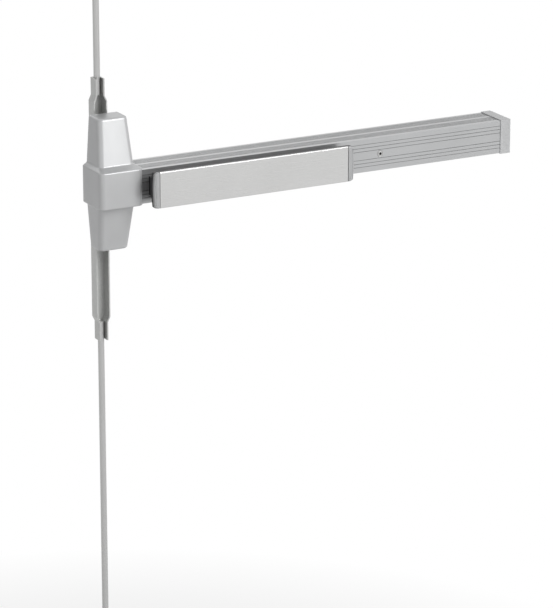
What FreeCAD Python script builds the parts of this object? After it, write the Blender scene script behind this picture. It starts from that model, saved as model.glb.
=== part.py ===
"""Concealed vertical rod exit device for the pull side of a single door.

The push face of the door is the plane Y = 0 and the door lies at Y > 0, where the rods and
latches hide in the stile.  X runs along the bar, Z is up, and the origin is the middle of the
four holes that fasten the centre baseplate.  All sizes are in millimetres.
"""
import FreeCAD, Part
import math
import os

V = FreeCAD.Vector

# Door leaf that the device is made for
leaf_top_z = 1018.0
leaf_bottom_z = -1001.0
rod_y = 22.0

# Mechanism case: the long extruded bar
bar_height = 51.0
bar_depth = 58.0
bar_wall = 2.5
bar_back_wall = 3.0
bar_start_x = 27.0
bar_end_x = 641.0
slot_half = 14.3
rebate_half = 17.3
rebate_depth = 2.0
lip_flange_depth = 2.0
front_groove_z = (6.5, 11.9)
groove_width = 0.9
groove_depth = 0.6
top_band_starts = (0.095 * bar_depth, 0.543 * bar_depth)
top_band_grooves = 7
top_groove_pitch = 0.0483 * bar_depth
top_groove_width = 1.2

# End cap and end bracket
cap_length = 18.0
cap_proud = 1.2
cap_wall = 2.5
cap_tongue_length = 12.0
cap_tongue_thick = 1.6
cap_corner = 2.0
cap_screw_y = -27.0
cap_screw_radius = 1.7
cap_screw_lug = 7.0
cap_tongue_y = (-40.0, -18.0)
end_hole_spacing = 24.0
end_bracket_overlap = 26.0
end_bracket_half = 19.0

# Centre cover
cover_half_width = 35.0
cover_wall = 2.5
cover_collar_half = bar_height / 2.0 + 2.0
cover_depth = bar_depth + cover_wall + 0.2
shoulder_rise = 4.0
head_base_half = 28.5
head_base_depth = 44.0
head_top_half = 24.0
head_top_depth = 32.0
head_top_z = 101.0
tail_end_z = -99.0
tail_end_half = 23.5
tail_end_depth = 30.0
cover_corner = 6.0
cover_end_round = 5.0
cover_screw_z = 45.0
cover_screw_y = -14.0
cover_screw_head_radius = 4.0

# Centre baseplate
plate_thick = 3.0
plate_half_width = 20.5
plate_end_clear = 4.5
plate_half_height = min(head_top_z, -tail_end_z) - cover_wall - plate_end_clear
plate_wide_half_height = 24.5
mount_spacing_x = 30.0
mount_hole_edge = 8.0
mount_spacing_z = 2.0 * (plate_half_height - mount_hole_edge)
mount_hole_radius = 2.75
tongue_length = 25.0
tongue_half = 17.0
tongue_screw_inset = 14.0
tongue_screw_half = 9.0
plate_ear_half = 6.0

# Push pad
pad_start_x = 36.5
pad_end_x = 368.0
pad_cap_length = 10.5
pad_height = bar_height + 3.0
pad_body_depth = 9.2
pad_face_thick = 1.5
pad_face_return = 3.0
pad_cap_thick = 4.0
pad_cap_proud = 0.5
pad_cap_corner = 3.0
pad_cap_bulge = 1.5
pad_travel = 19.0
pad_stop_gap = 2.5
pad_front_y = -(bar_depth + pad_stop_gap + pad_travel + pad_body_depth)
neck_wall = 1.8
neck_inset = 8.0
neck_depth_in_slot = 8.0
yoke_sink = 3.0
yoke_base_half = 16.0
yoke_screw_offset = 13.5
yoke_screw_radius = 1.6
yoke_screw_head_radius = 3.0

# Bell cranks, which turn the push into a pull of the drawbar
crank_x = {"left": 115.0, "right": 345.0}
crank_front_room = 20.0
crank_pivot_y = -(bar_depth - crank_front_room)
crank_pad_radius = 30.0
crank_draw_radius = 18.0
crank_plate_half = 2.0
crank_hub_radius = 6.5
crank_hub_half = 8.9
crank_pivot_radius = 3.0
crank_pin_radius = 2.5
crank_ear_inner = 9.2
crank_ear_thick = 2.5
crank_base_thick = 3.0
crank_base_half = 18.0
crank_screw_offset = 13.0
crank_pad_tip_radius = 4.5
crank_draw_tip_radius = 4.3

# Drawbar
draw_web_thick = 2.4
draw_flange_inner = 4.2
draw_flange_thick = 2.0
draw_flange_margin = 6.0
draw_tip_half = 12.0
draw_tip_overlap = 16.0
draw_channel_reach = 22.0

# Lift levers, slides and rods in the centre unit
lever_pivot_x = 19.4
lever_pivot_z = 20.0
lever_draw_radius = 14.5
lever_thick = 3.0
lever_hub_radius = 6.0
lever_pin_radius = 2.3
lever_pivot_radius = 3.0
lever_stud_head_radius = 4.6
lever_stud_head_thick = 1.2
lever_tip_radius = 4.0
rod_lift = 16.0
bolt_press = 14.0
slide_thick = 3.0
slide_half_width = 8.5
slide_end_margin = 4.0
slide_pin_margin = 5.5
layer_gap = 0.4
stud_edge = 14.0
stud_z = plate_half_height - stud_edge
stud_radius = 4.0
stud_head_radius = 6.0
stud_shoulder_radius = 5.0
stud_head_thick = 2.0
stud_slot_clear = 0.3
stud_shoulder_gap = 0.6
bolt_spring_length = 26.0
bolt_spring_radius = 2.9
bolt_spring_wire = 0.8
bolt_spring_turns = 6
spring_slot_end_z = stud_z - stud_head_radius - bolt_spring_length
guide_length = 13.0
guide_low_z = spring_slot_end_z + 1.0
guide_lip = 2.0
guide_thick = 2.2
lift_spring_x = -15.0
lift_spring_radius = 3.5
lift_spring_wire = 1.0
lift_spring_turns = 7
spring_peg_length = 5.0
spring_seat_half = 4.5
spring_seat_depth = 4.0
slide_ear_z = 42.0
slide_ear_thick = 3.0
anchor_half = 5.0

# Rods and the channels that carry them
rod_radius = 4.75
carrier_half_width = 10.75
carrier_depth = 18.0
carrier_wall = 2.0
carrier_near_z = 44.0
upper_wide_end_z = 116.0
upper_taper = 8.0
upper_far_z = 150.0
lower_wide_end_z = 214.0
lower_taper = 8.0
lower_far_z = 250.0
neck_half_width = 7.0
rod_screw_inset = (5.0, 6.0)
rod_screw_bite = 1.0
stud_nut_flats = 13.0
stud_nut_height = 5.0
stud_end_proud = 0.6

# Top latch
latch_wall = 3.0
bolt_size = 18.0
bolt_side_clear = 1.5
bolt_depth_clear = 3.5
top_housing_half = bolt_size / 2.0 + bolt_side_clear + latch_wall
top_housing_depth = bolt_size + 2.0 * bolt_depth_clear
top_housing_height = 91.0
top_tab_length = 28.0
top_tab_hole_places = (8.0, 21.0)
top_leg_height = 55.0
rivet_drops = (44.0, 20.0)
guide_stud_drop = 29.0
guide_stud_inset = 8.0
guide_stud_head_radius = 4.75
bolt_proud = 16.0
bolt_end_slope = 5.0
bolt_clear = 0.3
bolt_flange_thick = 3.5
connector_width = 14.5
connector_height = 24.0
connector_drop = 13.0
connector_rod_grip = 14.0
stem_radius = 3.0
rivet_radius = 2.0
rivet_head_radius = 3.6
rivet_head_height = 1.4

# Bottom latch
bottom_bolt_radius = 6.25
bottom_bolt_proud = 13.0
bottom_bolt_bevel = 2.0
bottom_housing_half = 2.0 * bottom_bolt_radius
bottom_housing_depth = 28.0
bottom_housing_height = 70.0
notch_drop = 10.0
notch_length = 23.0
notch_depth = 8.0
notch_hook = 4.0
foot_tab_length = 28.0
foot_tab_hole_places = ((8.5, -5.7), (20.0, 5.7))
coupling_flats = 2.0 * bottom_bolt_radius + 1.5
coupling_height = 26.0
coupling_rise = 20.0
cross_pin_radius = 1.75
cross_pin_inset = 3.6
cross_pin_rise = 9.0
cross_pin_proud = 0.8

# Dogging, which holds the pad in
dogging_x = 430.0
dogging_shaft_radius = 3.2
dogging_head_radius = 5.0
dogging_head_length = 6.0
dogging_key_flats = 4.0
dogging_lobe_radius = 6.1
dogging_lobe_half = 2.2
dogging_tooth_width = 3.0
dogging_tooth_low_z = 3.2
dogging_tooth_offset = 2.8
dogging_screw_offset = 33.0
dogging_screw_half = 6.0
dogging_bracket_half = 11.0
dogging_leg_offset = 25.0
dogging_sheet = 2.5
dogging_shelf_gap = 12.0

# Screws and fits shared by several pieces
screw_radius = 2.0
screw_head_radius = 3.6
screw_head_height = 2.2
socket_flats = 2.8
fit_clear = 0.3
running_clear = 0.05
slot_clear = 0.25
slot_end_clear = 0.2

# Places that follow from the sizes above
half_bar = bar_height / 2.0
half_swing = math.asin(pad_travel / 2.0 / crank_pad_radius)
draw_travel = 2.0 * crank_draw_radius * math.sin(half_swing)
lever_half_swing = math.asin(draw_travel / 2.0 / lever_draw_radius)
lever_slide_radius = rod_lift / 2.0 / math.sin(lever_half_swing)
slide_front_y = -plate_thick - layer_gap - slide_thick
slide_back_y = -plate_thick - layer_gap
stud_head_back_y = slide_front_y - layer_gap
stud_head_front_y = stud_head_back_y - stud_head_thick
lever_back_y = stud_head_front_y - layer_gap
lever_front_y = lever_back_y - lever_thick
draw_back_y = lever_front_y - layer_gap
draw_front_y = draw_back_y - draw_web_thick
draw_flange_outer = draw_flange_inner + draw_flange_thick
draw_flange_front_y = crank_pivot_y + crank_draw_radius - draw_flange_margin
cap_end_x = bar_end_x + cap_length
carrier_back_y = rod_y + rod_radius + carrier_wall
carrier_front_y = carrier_back_y - carrier_depth
slide_pin_z = lever_pivot_z + rod_lift / 2.0
pad_rear_y = pad_front_y + pad_body_depth
cheek_inner = draw_flange_outer + 0.5
cheek_thick = 2.0
yoke_seat_y = pad_rear_y - yoke_sink
total_bolt_travel = rod_lift + bolt_press


def block(x0, x1, y0, y1, z0, z1):
    """A box between two corners."""
    return Part.makeBox(x1 - x0, y1 - y0, z1 - z0, V(x0, y0, z0))


def cyl_x(radius, x0, x1, y, z):
    return Part.makeCylinder(radius, x1 - x0, V(x0, y, z), V(1, 0, 0))


def cyl_y(radius, y0, y1, x, z):
    return Part.makeCylinder(radius, y1 - y0, V(x, y0, z), V(0, 1, 0))


def cyl_z(radius, z0, z1, x, y):
    return Part.makeCylinder(radius, z1 - z0, V(x, y, z0), V(0, 0, 1))


def prism(points, travel):
    """A flat outline moved along a vector."""
    corners = [V(*p) for p in points]
    outline = Part.makePolygon(corners + [corners[0]])
    return Part.Face(outline).extrude(V(*travel))


def prism_x(points_yz, x0, x1):
    return prism([(x0, y, z) for y, z in points_yz], (x1 - x0, 0, 0))


def prism_y(points_xz, y0, y1):
    return prism([(x, y0, z) for x, z in points_xz], (0, y1 - y0, 0))


def prism_z(points_xy, z0, z1):
    return prism([(x, y, z0) for x, y in points_xy], (0, 0, z1 - z0))


def join(shapes):
    """One clean solid out of several that meet."""
    first = shapes[0]
    return first.fuse(shapes[1:]).removeSplitter() if len(shapes) > 1 else first


def less(shape, tools):
    """The shape with every tool cut away."""
    return shape.cut(tools).removeSplitter()


def mirrored_z(shape):
    return shape.mirror(V(0, 0, 0), V(0, 0, 1))


def both_sides(shape):
    """A group of a shape and its mirror image above and below Z = 0."""
    return Part.makeCompound([shape, mirrored_z(shape)])


def slot_in_y(x, z, radius, reach, upright, y0, y1):
    """Round-ended slot through a plate, with its end centres reach either side of x, z."""
    dx, dz = (0.0, reach) if upright else (reach, 0.0)
    middle = block(x - max(dx, radius), x + max(dx, radius), y0, y1, z - dz, z + dz) if upright else \
        block(x - dx, x + dx, y0, y1, z - radius, z + radius)
    return join([middle, cyl_y(radius, y0, y1, x - dx, z - dz), cyl_y(radius, y0, y1, x + dx, z + dz)])


def slot_in_z(x, y, radius, reach, along_y, z0, z1):
    """Round-ended slot through a level plate."""
    dx, dy = (0.0, reach) if along_y else (reach, 0.0)
    middle = block(x - radius, x + radius, y - dy, y + dy, z0, z1) if along_y else \
        block(x - dx, x + dx, y - radius, y + radius, z0, z1)
    return join([middle, cyl_z(radius, z0, z1, x - dx, y - dy), cyl_z(radius, z0, z1, x + dx, y + dy)])


def link_outline(ax, ay, ra, bx, by, rb):
    """The four tangent points that join two circles into a tapered link."""
    length = math.hypot(bx - ax, by - ay)
    heading = math.atan2(by - ay, bx - ax)
    spread = math.acos((ra - rb) / length)
    points = []
    for cx, cy, radius, side in ((ax, ay, ra, 1), (bx, by, rb, 1), (bx, by, rb, -1), (ax, ay, ra, -1)):
        angle = heading + side * spread
        points.append((cx + radius * math.cos(angle), cy + radius * math.sin(angle)))
    return points


def link_z(ax, ay, ra, bx, by, rb, z0, z1):
    """Tapered link lying level."""
    arm = prism_z(link_outline(ax, ay, ra, bx, by, rb), z0, z1)
    return join([arm, cyl_z(ra, z0, z1, ax, ay), cyl_z(rb, z0, z1, bx, by)])


def link_y(ax, az, ra, bx, bz, rb, y0, y1):
    """Tapered link standing in a plane of constant Y."""
    arm = prism_y(link_outline(ax, az, ra, bx, bz, rb), y0, y1)
    return join([arm, cyl_y(ra, y0, y1, ax, az), cyl_y(rb, y0, y1, bx, bz)])


def hexagon(flats, heading):
    """Corners of a hexagon about the origin."""
    reach = flats / math.sqrt(3.0)
    return [(reach * math.cos(heading + math.radians(60 * k)),
             reach * math.sin(heading + math.radians(60 * k))) for k in range(6)]


def socket_screw_y(x, z, seat_y, length):
    """Screw driven along +Y, with its head in front of the face it clamps."""
    front = seat_y - screw_head_height
    head = cyl_y(screw_head_radius, front, seat_y, x, z)
    shank = cyl_y(screw_radius, seat_y, seat_y + length, x, z)
    recess = prism_y([(x + px, z + pz) for px, pz in hexagon(socket_flats, 0.0)],
                     front, front + screw_head_height * 0.65)
    return less(join([head, shank]), [recess])


def coil_spring(x, y, z0, z1, radius, wire, turns):
    """Compression spring standing upright, with its wire ends inside z0 and z1."""
    half = wire / 2.0
    helix = Part.makeHelix((z1 - z0 - wire) / turns, z1 - z0 - wire, radius - half)
    start = V(radius - half, 0, 0)
    circle = Part.Wire(Part.makeCircle(half, start, V(0, 1, 0)))
    coil = Part.Wire(helix).makePipeShell([circle], True, True)
    coil.translate(V(x, y, z0 + half))
    return coil


def bar_outline():
    """Section of the case: a channel open to the front, with grooves rolled along its top and lips."""
    inner_half = half_bar - bar_wall
    lip_back = -bar_depth + rebate_depth + lip_flange_depth
    upper = [(0.0, half_bar)]
    for start in top_band_starts:
        for k in range(top_band_grooves):
            near = -(start + k * top_groove_pitch)
            upper += [(near, half_bar), (near, half_bar - groove_depth),
                      (near - top_groove_width, half_bar - groove_depth),
                      (near - top_groove_width, half_bar)]
    upper += [(-bar_depth, half_bar), (-bar_depth, rebate_half), (-bar_depth + rebate_depth, rebate_half),
              (-bar_depth + rebate_depth, slot_half), (lip_back, slot_half), (lip_back, inner_half),
              (-bar_back_wall, inner_half)]
    lower = [(y, -z) for y, z in upper]
    return upper + lower[::-1]


def mechanism_case():
    case = prism_x(bar_outline(), bar_start_x, bar_end_x)
    holes = [cyl_y(screw_radius, -bar_back_wall, 0, x, z) for x, z in case_screw_places()]
    return less(case, holes)


def case_screw_places():
    """Where screws hold the brackets to the back wall of the case."""
    places = []
    for x in crank_x.values():
        places += [(x - crank_screw_offset, 0.0), (x + crank_screw_offset, 0.0)]
    for side in (-1, 1):
        places.append((dogging_x + dogging_screw_offset, side * dogging_screw_half))
        places.append((bar_start_x + tongue_screw_inset, side * tongue_screw_half))
    return places


def bracket_screws():
    screws = []
    for x, z in case_screw_places():
        screws.append(socket_screw_y(x, z, -bar_back_wall - crank_base_thick,
                                     bar_back_wall + crank_base_thick - 0.5))
    return Part.makeCompound(screws)


def filler_plate(x0, x1):
    """Grooved strip that closes the front of the case, snapped between the lips."""
    edge = rebate_half - 0.2
    front = -bar_depth
    back = front + rebate_depth
    leg_outer = slot_half - 0.3
    upper = [(front, edge), (back, edge), (back, leg_outer), (back + 5.0, leg_outer),
             (back + 5.0, leg_outer - 1.6), (back, leg_outer - 1.6)]
    outline = upper + [(y, -z) for y, z in upper][::-1]
    strip = prism_x(outline, x0, x1)
    cuts = []
    for z in front_groove_z:
        for side in (1, -1):
            low = side * z - groove_width / 2.0
            cuts.append(block(x0, x1, front, front + groove_depth, low, low + groove_width))
    return less(strip, cuts)


def filler_plate_left():
    return filler_plate(bar_start_x, pad_start_x + neck_inset - 1.0)


def filler_plate_right():
    strip = filler_plate(pad_end_x - neck_inset + 1.0, bar_end_x)
    return less(strip, [cyl_y(dogging_head_radius + 0.3, -bar_depth - 1, -bar_depth + 8, dogging_x, 0)])


def cover_section(half_width, depth, z, corner):
    """Outline of the cover at one height: open to the door, rounded at its two front corners."""
    diagonal = corner * (1.0 - math.sqrt(0.5))
    a = V(-half_width, 0, z)
    b = V(-half_width, -depth + corner, z)
    c = V(-half_width + diagonal, -depth + diagonal, z)
    d = V(-half_width + corner, -depth, z)
    e = V(half_width - corner, -depth, z)
    f = V(half_width - diagonal, -depth + diagonal, z)
    g = V(half_width, -depth + corner, z)
    h = V(half_width, 0, z)
    return Part.Wire([Part.makeLine(a, b), Part.Arc(b, c, d).toShape(), Part.makeLine(d, e),
                      Part.Arc(e, f, g).toShape(), Part.makeLine(g, h), Part.makeLine(h, a)])


def cover_body(wall):
    """Tapered head, square collar and tapered tail, drawn in by a wall thickness."""
    corner = max(cover_corner - wall, 1.0)
    collar = cover_collar_half if wall == 0 else half_bar + fit_clear
    sections = ((tail_end_half, tail_end_depth, tail_end_z + wall),
                (head_base_half, head_base_depth, -cover_collar_half - shoulder_rise + wall * 0.4),
                (cover_half_width, cover_depth, -collar),
                (cover_half_width, cover_depth, collar),
                (head_base_half, head_base_depth, cover_collar_half + shoulder_rise - wall * 0.4),
                (head_top_half, head_top_depth, head_top_z - wall))
    wires = [cover_section(half - wall, depth - wall, z, corner) for half, depth, z in sections]
    return Part.makeLoft(wires, True, True)


def centre_cover():
    outer = cover_body(0.0)
    ends = [e for e in outer.Edges
            if (abs(e.CenterOfMass.z - head_top_z) < 0.01 or abs(e.CenterOfMass.z - tail_end_z) < 0.01)
            and e.CenterOfMass.y < -0.01]
    outer = outer.makeFillet(cover_end_round, ends)
    inner = cover_body(cover_wall)
    window = block(bar_start_x, cover_half_width + 1.0, -bar_depth - 0.2, 1.0,
                   -half_bar - fit_clear, half_bar + fit_clear)
    cuts = [inner, window]
    for side in (1, -1):
        cuts.append(cyl_x(screw_radius + 0.1, 0, cover_half_width, cover_screw_y, side * cover_screw_z))
        cuts.append(cyl_x(cover_screw_head_radius + 0.6, cover_seat_x(), cover_half_width,
                          cover_screw_y, side * cover_screw_z))
    return less(outer, cuts)


def cover_seat_x():
    """Flat seat of the cover screws, just below the sloping flank."""
    return head_base_half - 2.0


def cover_screws():
    seat = cover_seat_x()
    top = seat + screw_head_height
    screw = cyl_x(screw_radius, plate_half_width - plate_thick, seat, cover_screw_y, cover_screw_z)
    head = cyl_x(cover_screw_head_radius, seat, top, cover_screw_y, cover_screw_z)
    socket = prism_x([(cover_screw_y + y, cover_screw_z + z) for y, z in hexagon(socket_flats, 0.0)],
                     seat + screw_head_height * 0.35, top)
    return both_sides(less(join([screw, head]), [socket]))


def centre_baseplate():
    """Steel plate against the door, with a joggled tongue that clamps the case."""
    body = block(-plate_half_width, plate_half_width, -plate_thick, 0, -plate_half_height, plate_half_height)
    wide = block(0, bar_start_x, -plate_thick, 0, -plate_wide_half_height, plate_wide_half_height)
    riser = block(bar_start_x - plate_thick, bar_start_x, -2 * plate_thick, 0, -tongue_half, tongue_half)
    tongue = block(bar_start_x - plate_thick, bar_start_x + tongue_length, -2 * plate_thick, -plate_thick,
                   -tongue_half, tongue_half)
    shapes = [body, wide, riser, tongue]
    for side in (1, -1):
        middle = side * cover_screw_z
        shapes.append(block(plate_half_width - plate_thick, plate_half_width, cover_screw_y - plate_ear_half, 0,
                            middle - plate_ear_half, middle + plate_ear_half))
    plate = join(shapes)
    cuts = []
    for side in (1, -1):
        slot_middle = stud_z - total_bolt_travel / 2.0
        cuts.append(slot_in_y(0, side * slot_middle, stud_radius + stud_slot_clear,
                              total_bolt_travel / 2.0 + 0.5, True, -plate_thick, 0))
        cuts.append(cyl_x(screw_radius, 0, plate_half_width, cover_screw_y, side * cover_screw_z))
        cuts.append(cyl_y(lever_pivot_radius, -plate_thick, 0, lever_pivot_x, side * lever_pivot_z))
        cuts.append(cyl_y(screw_radius, -2 * plate_thick, 0,
                          bar_start_x + tongue_screw_inset, side * tongue_screw_half))
        for across in (1, -1):
            cuts.append(cyl_y(mount_hole_radius, -plate_thick, 0,
                              across * mount_spacing_x / 2.0, side * mount_spacing_z / 2.0))
    return less(plate, cuts)


def lever_pivot_studs():
    """Shoulder studs riveted into the baseplate."""
    x = lever_pivot_x
    z = lever_pivot_z
    head_back = lever_front_y - layer_gap
    stud = join([cyl_y(lever_pivot_radius, head_back, 0, x, z),
                 cyl_y(lever_stud_head_radius, lever_back_y + layer_gap, -plate_thick, x, z),
                 cyl_y(lever_stud_head_radius, head_back - lever_stud_head_thick, head_back, x, z)])
    return both_sides(stud)


def slide_guides():
    """Angle guides that hold the edges of the two slides to the baseplate."""
    inner = slide_half_width + fit_clear
    lip_back = slide_front_y - fit_clear
    rails = []
    for side in (1, -1):
        upright = block(inner, inner + guide_thick, lip_back - guide_thick, -plate_thick, guide_low_z, guide_low_z + guide_length)
        lip = block(inner - guide_lip, inner, lip_back - guide_thick, lip_back, guide_low_z, guide_low_z + guide_length)
        rail = join([upright, lip])
        if side < 0:
            rail = rail.mirror(V(0, 0, 0), V(1, 0, 0))
        rails += [rail, mirrored_z(rail)]
    return Part.makeCompound(rails)


def spring_anchor():
    """Fixed block between the two lift springs, with a peg into each."""
    x = lift_spring_x
    y = lift_spring_y()
    body = block(x - spring_seat_half, x + spring_seat_half, y - spring_seat_depth, -plate_thick,
                 -anchor_half, anchor_half)
    pegs = cyl_z(spring_peg_radius(), -anchor_half - spring_peg_length, anchor_half + spring_peg_length, x, y)
    return join([body, pegs])


def spring_peg_radius():
    return lift_spring_radius - lift_spring_wire - fit_clear


def lift_spring_y():
    return -plate_thick - lift_spring_radius - 1.0


def lift_spring():
    return coil_spring(lift_spring_x, lift_spring_y(), anchor_half, slide_ear_z,
                       lift_spring_radius, lift_spring_wire, lift_spring_turns)


def lift_slide():
    """Upper slide: lifted plate with a lost-motion slot for the rod's stud and a cross slot for the lever."""
    bottom = slide_pin_z - slide_pin_margin
    top = stud_z + stud_radius + stud_slot_clear + slide_end_margin
    plate = block(-slide_half_width, slide_half_width, slide_front_y, slide_back_y, bottom, top)
    ear = block(lift_spring_x - spring_seat_half, -slide_half_width, lift_spring_y() - spring_seat_depth,
                slide_back_y, slide_ear_z, slide_ear_z + slide_ear_thick)
    peg = cyl_z(spring_peg_radius(), slide_ear_z - spring_peg_length, slide_ear_z,
                lift_spring_x, lift_spring_y())
    width = stud_radius + stud_slot_clear
    slot = join([block(-width, width, slide_front_y, slide_back_y, spring_slot_end_z, stud_z),
                 cyl_y(width, slide_front_y, slide_back_y, 0, stud_z)])
    pin_reach = lever_slide_radius * (1.0 - math.cos(lever_half_swing)) / 2.0
    pin_middle = lever_pivot_x - lever_slide_radius * (1.0 + math.cos(lever_half_swing)) / 2.0
    cross = slot_in_y(pin_middle, slide_pin_z, lever_pin_radius + slot_clear, pin_reach + slot_end_clear, False,
                      slide_front_y, slide_back_y)
    return less(join([plate, ear, peg]), [slot, cross])


def bolt_spring():
    """Light spring in the slide's slot that keeps the bolt thrown."""
    return coil_spring(0, slide_front_y - layer_gap, spring_slot_end_z, stud_z - stud_head_radius,
                       bolt_spring_radius, bolt_spring_wire, bolt_spring_turns)


def lift_lever():
    """Upper lift lever and its two arms, at rest."""
    x = lever_pivot_x
    z = lever_pivot_z
    draw_x, draw_z, slide_x, slide_z = lever_pins()
    arms = []
    holes = [cyl_y(lever_pivot_radius + running_clear, lever_front_y, lever_back_y, x, z)]
    for pin_x, pin_z in ((draw_x, draw_z), (slide_x, slide_z)):
        arms.append(link_y(x, z, lever_hub_radius, pin_x, pin_z, lever_tip_radius, lever_front_y, lever_back_y))
        holes.append(cyl_y(lever_pin_radius, lever_front_y, lever_back_y, pin_x, pin_z))
    return less(join(arms), holes)


def lever_pins():
    """Centres of the upper lever's drawbar pin and slide pin, at rest."""
    sin_rest = math.sin(lever_half_swing)
    cos_rest = math.cos(lever_half_swing)
    return (lever_pivot_x - lever_draw_radius * sin_rest, lever_pivot_z - lever_draw_radius * cos_rest,
            lever_pivot_x - lever_slide_radius * cos_rest, lever_pivot_z + lever_slide_radius * sin_rest)


def lift_lever_pins():
    draw_x, draw_z, slide_x, slide_z = lever_pins()
    return Part.makeCompound([
        cyl_y(lever_pin_radius, draw_front_y - 0.8, lever_back_y, draw_x, draw_z),
        cyl_y(lever_pin_radius, lever_front_y, slide_back_y - 0.2, slide_x, slide_z)])


def drawbar():
    """Pull bar: slotted tip, channel between the cranks and a tooth for the dogging cam."""
    draw_x, draw_z, _, _ = lever_pins()
    tip_x = draw_x - 6.0
    channel_x0 = crank_x["left"] - draw_channel_reach
    channel_x1 = crank_x["right"] + draw_channel_reach
    tooth_x0 = dogging_x + dogging_tooth_offset - draw_travel
    end_x = tooth_x0 + dogging_tooth_width
    tip = block(tip_x, bar_start_x + draw_tip_overlap, draw_front_y, draw_back_y, -draw_tip_half, draw_tip_half)
    web = block(bar_start_x, end_x, draw_front_y, draw_back_y, -draw_flange_outer, draw_flange_outer)
    shapes = [tip, web]
    for side in (1, -1):
        low = min(side * draw_flange_inner, side * draw_flange_outer)
        shapes.append(block(channel_x0, channel_x1, draw_flange_front_y, draw_front_y,
                            low, low + draw_flange_thick))
    shapes.append(block(tooth_x0, end_x, draw_front_y - 9.0, draw_front_y,
                        dogging_tooth_low_z, draw_flange_outer))
    cuts = []
    lever_reach = lever_draw_radius * (1.0 - math.cos(lever_half_swing)) / 2.0
    lever_middle = lever_pivot_z - lever_draw_radius * (1.0 + math.cos(lever_half_swing)) / 2.0
    for side in (1, -1):
        cuts.append(slot_in_y(draw_x, side * lever_middle, lever_pin_radius + slot_clear,
                              lever_reach + slot_end_clear, True, draw_front_y, draw_back_y))
    crank_reach = crank_draw_radius * (1.0 - math.cos(half_swing)) / 2.0
    crank_middle = crank_pivot_y + crank_draw_radius * (1.0 + math.cos(half_swing)) / 2.0
    for x in crank_x.values():
        cuts.append(slot_in_z(x - draw_travel / 2.0, crank_middle, crank_pin_radius + slot_clear,
                              crank_reach + slot_end_clear, True, -draw_flange_outer, draw_flange_outer))
    return less(join(shapes), cuts)


def crank_pins_at_rest(x):
    """Centres of a crank's pad pin and drawbar pin, at rest."""
    sin_rest = math.sin(half_swing)
    cos_rest = math.cos(half_swing)
    return (x - crank_pad_radius * cos_rest, crank_pivot_y - crank_pad_radius * sin_rest,
            x - crank_draw_radius * sin_rest, crank_pivot_y + crank_draw_radius * cos_rest)


def bell_crank(x):
    pad_x, pad_y, draw_x, draw_y = crank_pins_at_rest(x)
    y = crank_pivot_y
    half = crank_plate_half
    crank = join([link_z(x, y, crank_hub_radius, pad_x, pad_y, crank_pad_tip_radius, -half, half),
                  link_z(x, y, crank_hub_radius, draw_x, draw_y, crank_draw_tip_radius, -half, half),
                  cyl_z(crank_hub_radius, -crank_hub_half, crank_hub_half, x, y)])
    return less(crank, [cyl_z(crank_pivot_radius + running_clear, -crank_hub_half, crank_hub_half, x, y),
                        cyl_z(crank_pin_radius, -half, half, pad_x, pad_y),
                        cyl_z(crank_pin_radius, -half, half, draw_x, draw_y)])


def crank_pins(x):
    pad_x, pad_y, draw_x, draw_y = crank_pins_at_rest(x)
    pad_reach = cheek_inner + cheek_thick
    return Part.makeCompound([
        cyl_z(crank_pin_radius, -pad_reach, pad_reach, pad_x, pad_y),
        cyl_z(crank_pin_radius, -draw_flange_outer, draw_flange_outer, draw_x, draw_y)])


def crank_bracket(x):
    """Folded bracket: a base on the case and two ears for the pivot pin."""
    outer = crank_ear_inner + crank_ear_thick
    base_front = -bar_back_wall - crank_base_thick
    base = block(x - crank_base_half, x + crank_base_half, base_front, -bar_back_wall, -outer, outer)
    ear = [(x - 10.0, base_front), (x + 10.0, base_front), (x + 7.0, crank_pivot_y),
           (x + 4.0, crank_pivot_y - 7.0), (x - 4.0, crank_pivot_y - 7.0), (x - 7.0, crank_pivot_y)]
    shapes = [base, prism_z(ear, crank_ear_inner, outer), prism_z(ear, -outer, -crank_ear_inner)]
    cuts = [cyl_z(crank_pivot_radius, -outer, outer, x, crank_pivot_y)]
    for side in (1, -1):
        cuts.append(cyl_y(screw_radius, base_front, -bar_back_wall, x + side * crank_screw_offset, 0))
    return less(join(shapes), cuts)


def crank_pivot_pins():
    """Pivot pins peened over just proud of the ears."""
    reach = crank_ear_inner + crank_ear_thick + 0.2
    return Part.makeCompound([cyl_z(crank_pivot_radius, -reach, reach, x, crank_pivot_y)
                              for x in crank_x.values()])


def pad_cap_outline(inner_x, outer_x, half, inset):
    """Face of one pad end: a bulging end with rounded corners."""
    way = 1.0 if outer_x > inner_x else -1.0
    tip = outer_x - way * inset
    edge = half - inset
    side_x = tip - way * pad_cap_bulge
    corner = pad_cap_corner
    diagonal = corner * (1.0 - math.sqrt(0.5))
    a = V(inner_x, 0, -edge)
    b = V(side_x - way * corner, 0, -edge)
    c = V(side_x - way * diagonal, 0, -edge + diagonal)
    d = V(side_x, 0, -edge + corner)
    e = V(tip, 0, 0)
    f = V(side_x, 0, edge - corner)
    g = V(side_x - way * diagonal, 0, edge - diagonal)
    h = V(side_x - way * corner, 0, edge)
    i = V(inner_x, 0, edge)
    return Part.Wire([Part.makeLine(a, b), Part.Arc(b, c, d).toShape(), Part.Arc(d, e, f).toShape(),
                      Part.Arc(f, g, h).toShape(), Part.makeLine(h, i), Part.makeLine(i, a)])


def pad_cap(inner_x, outer_x):
    front = pad_front_y - pad_cap_proud
    outline = pad_cap_outline(inner_x, outer_x, pad_height / 2.0, 0.0)
    outline.translate(V(0, front, 0))
    cap = Part.Face(outline).extrude(V(0, pad_cap_thick, 0))
    rim = [e for e in cap.Edges if abs(e.CenterOfMass.y - front) < 0.01
           and abs(e.CenterOfMass.x - inner_x) > 0.01]
    return cap.makeFillet(1.6, rim)


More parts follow.
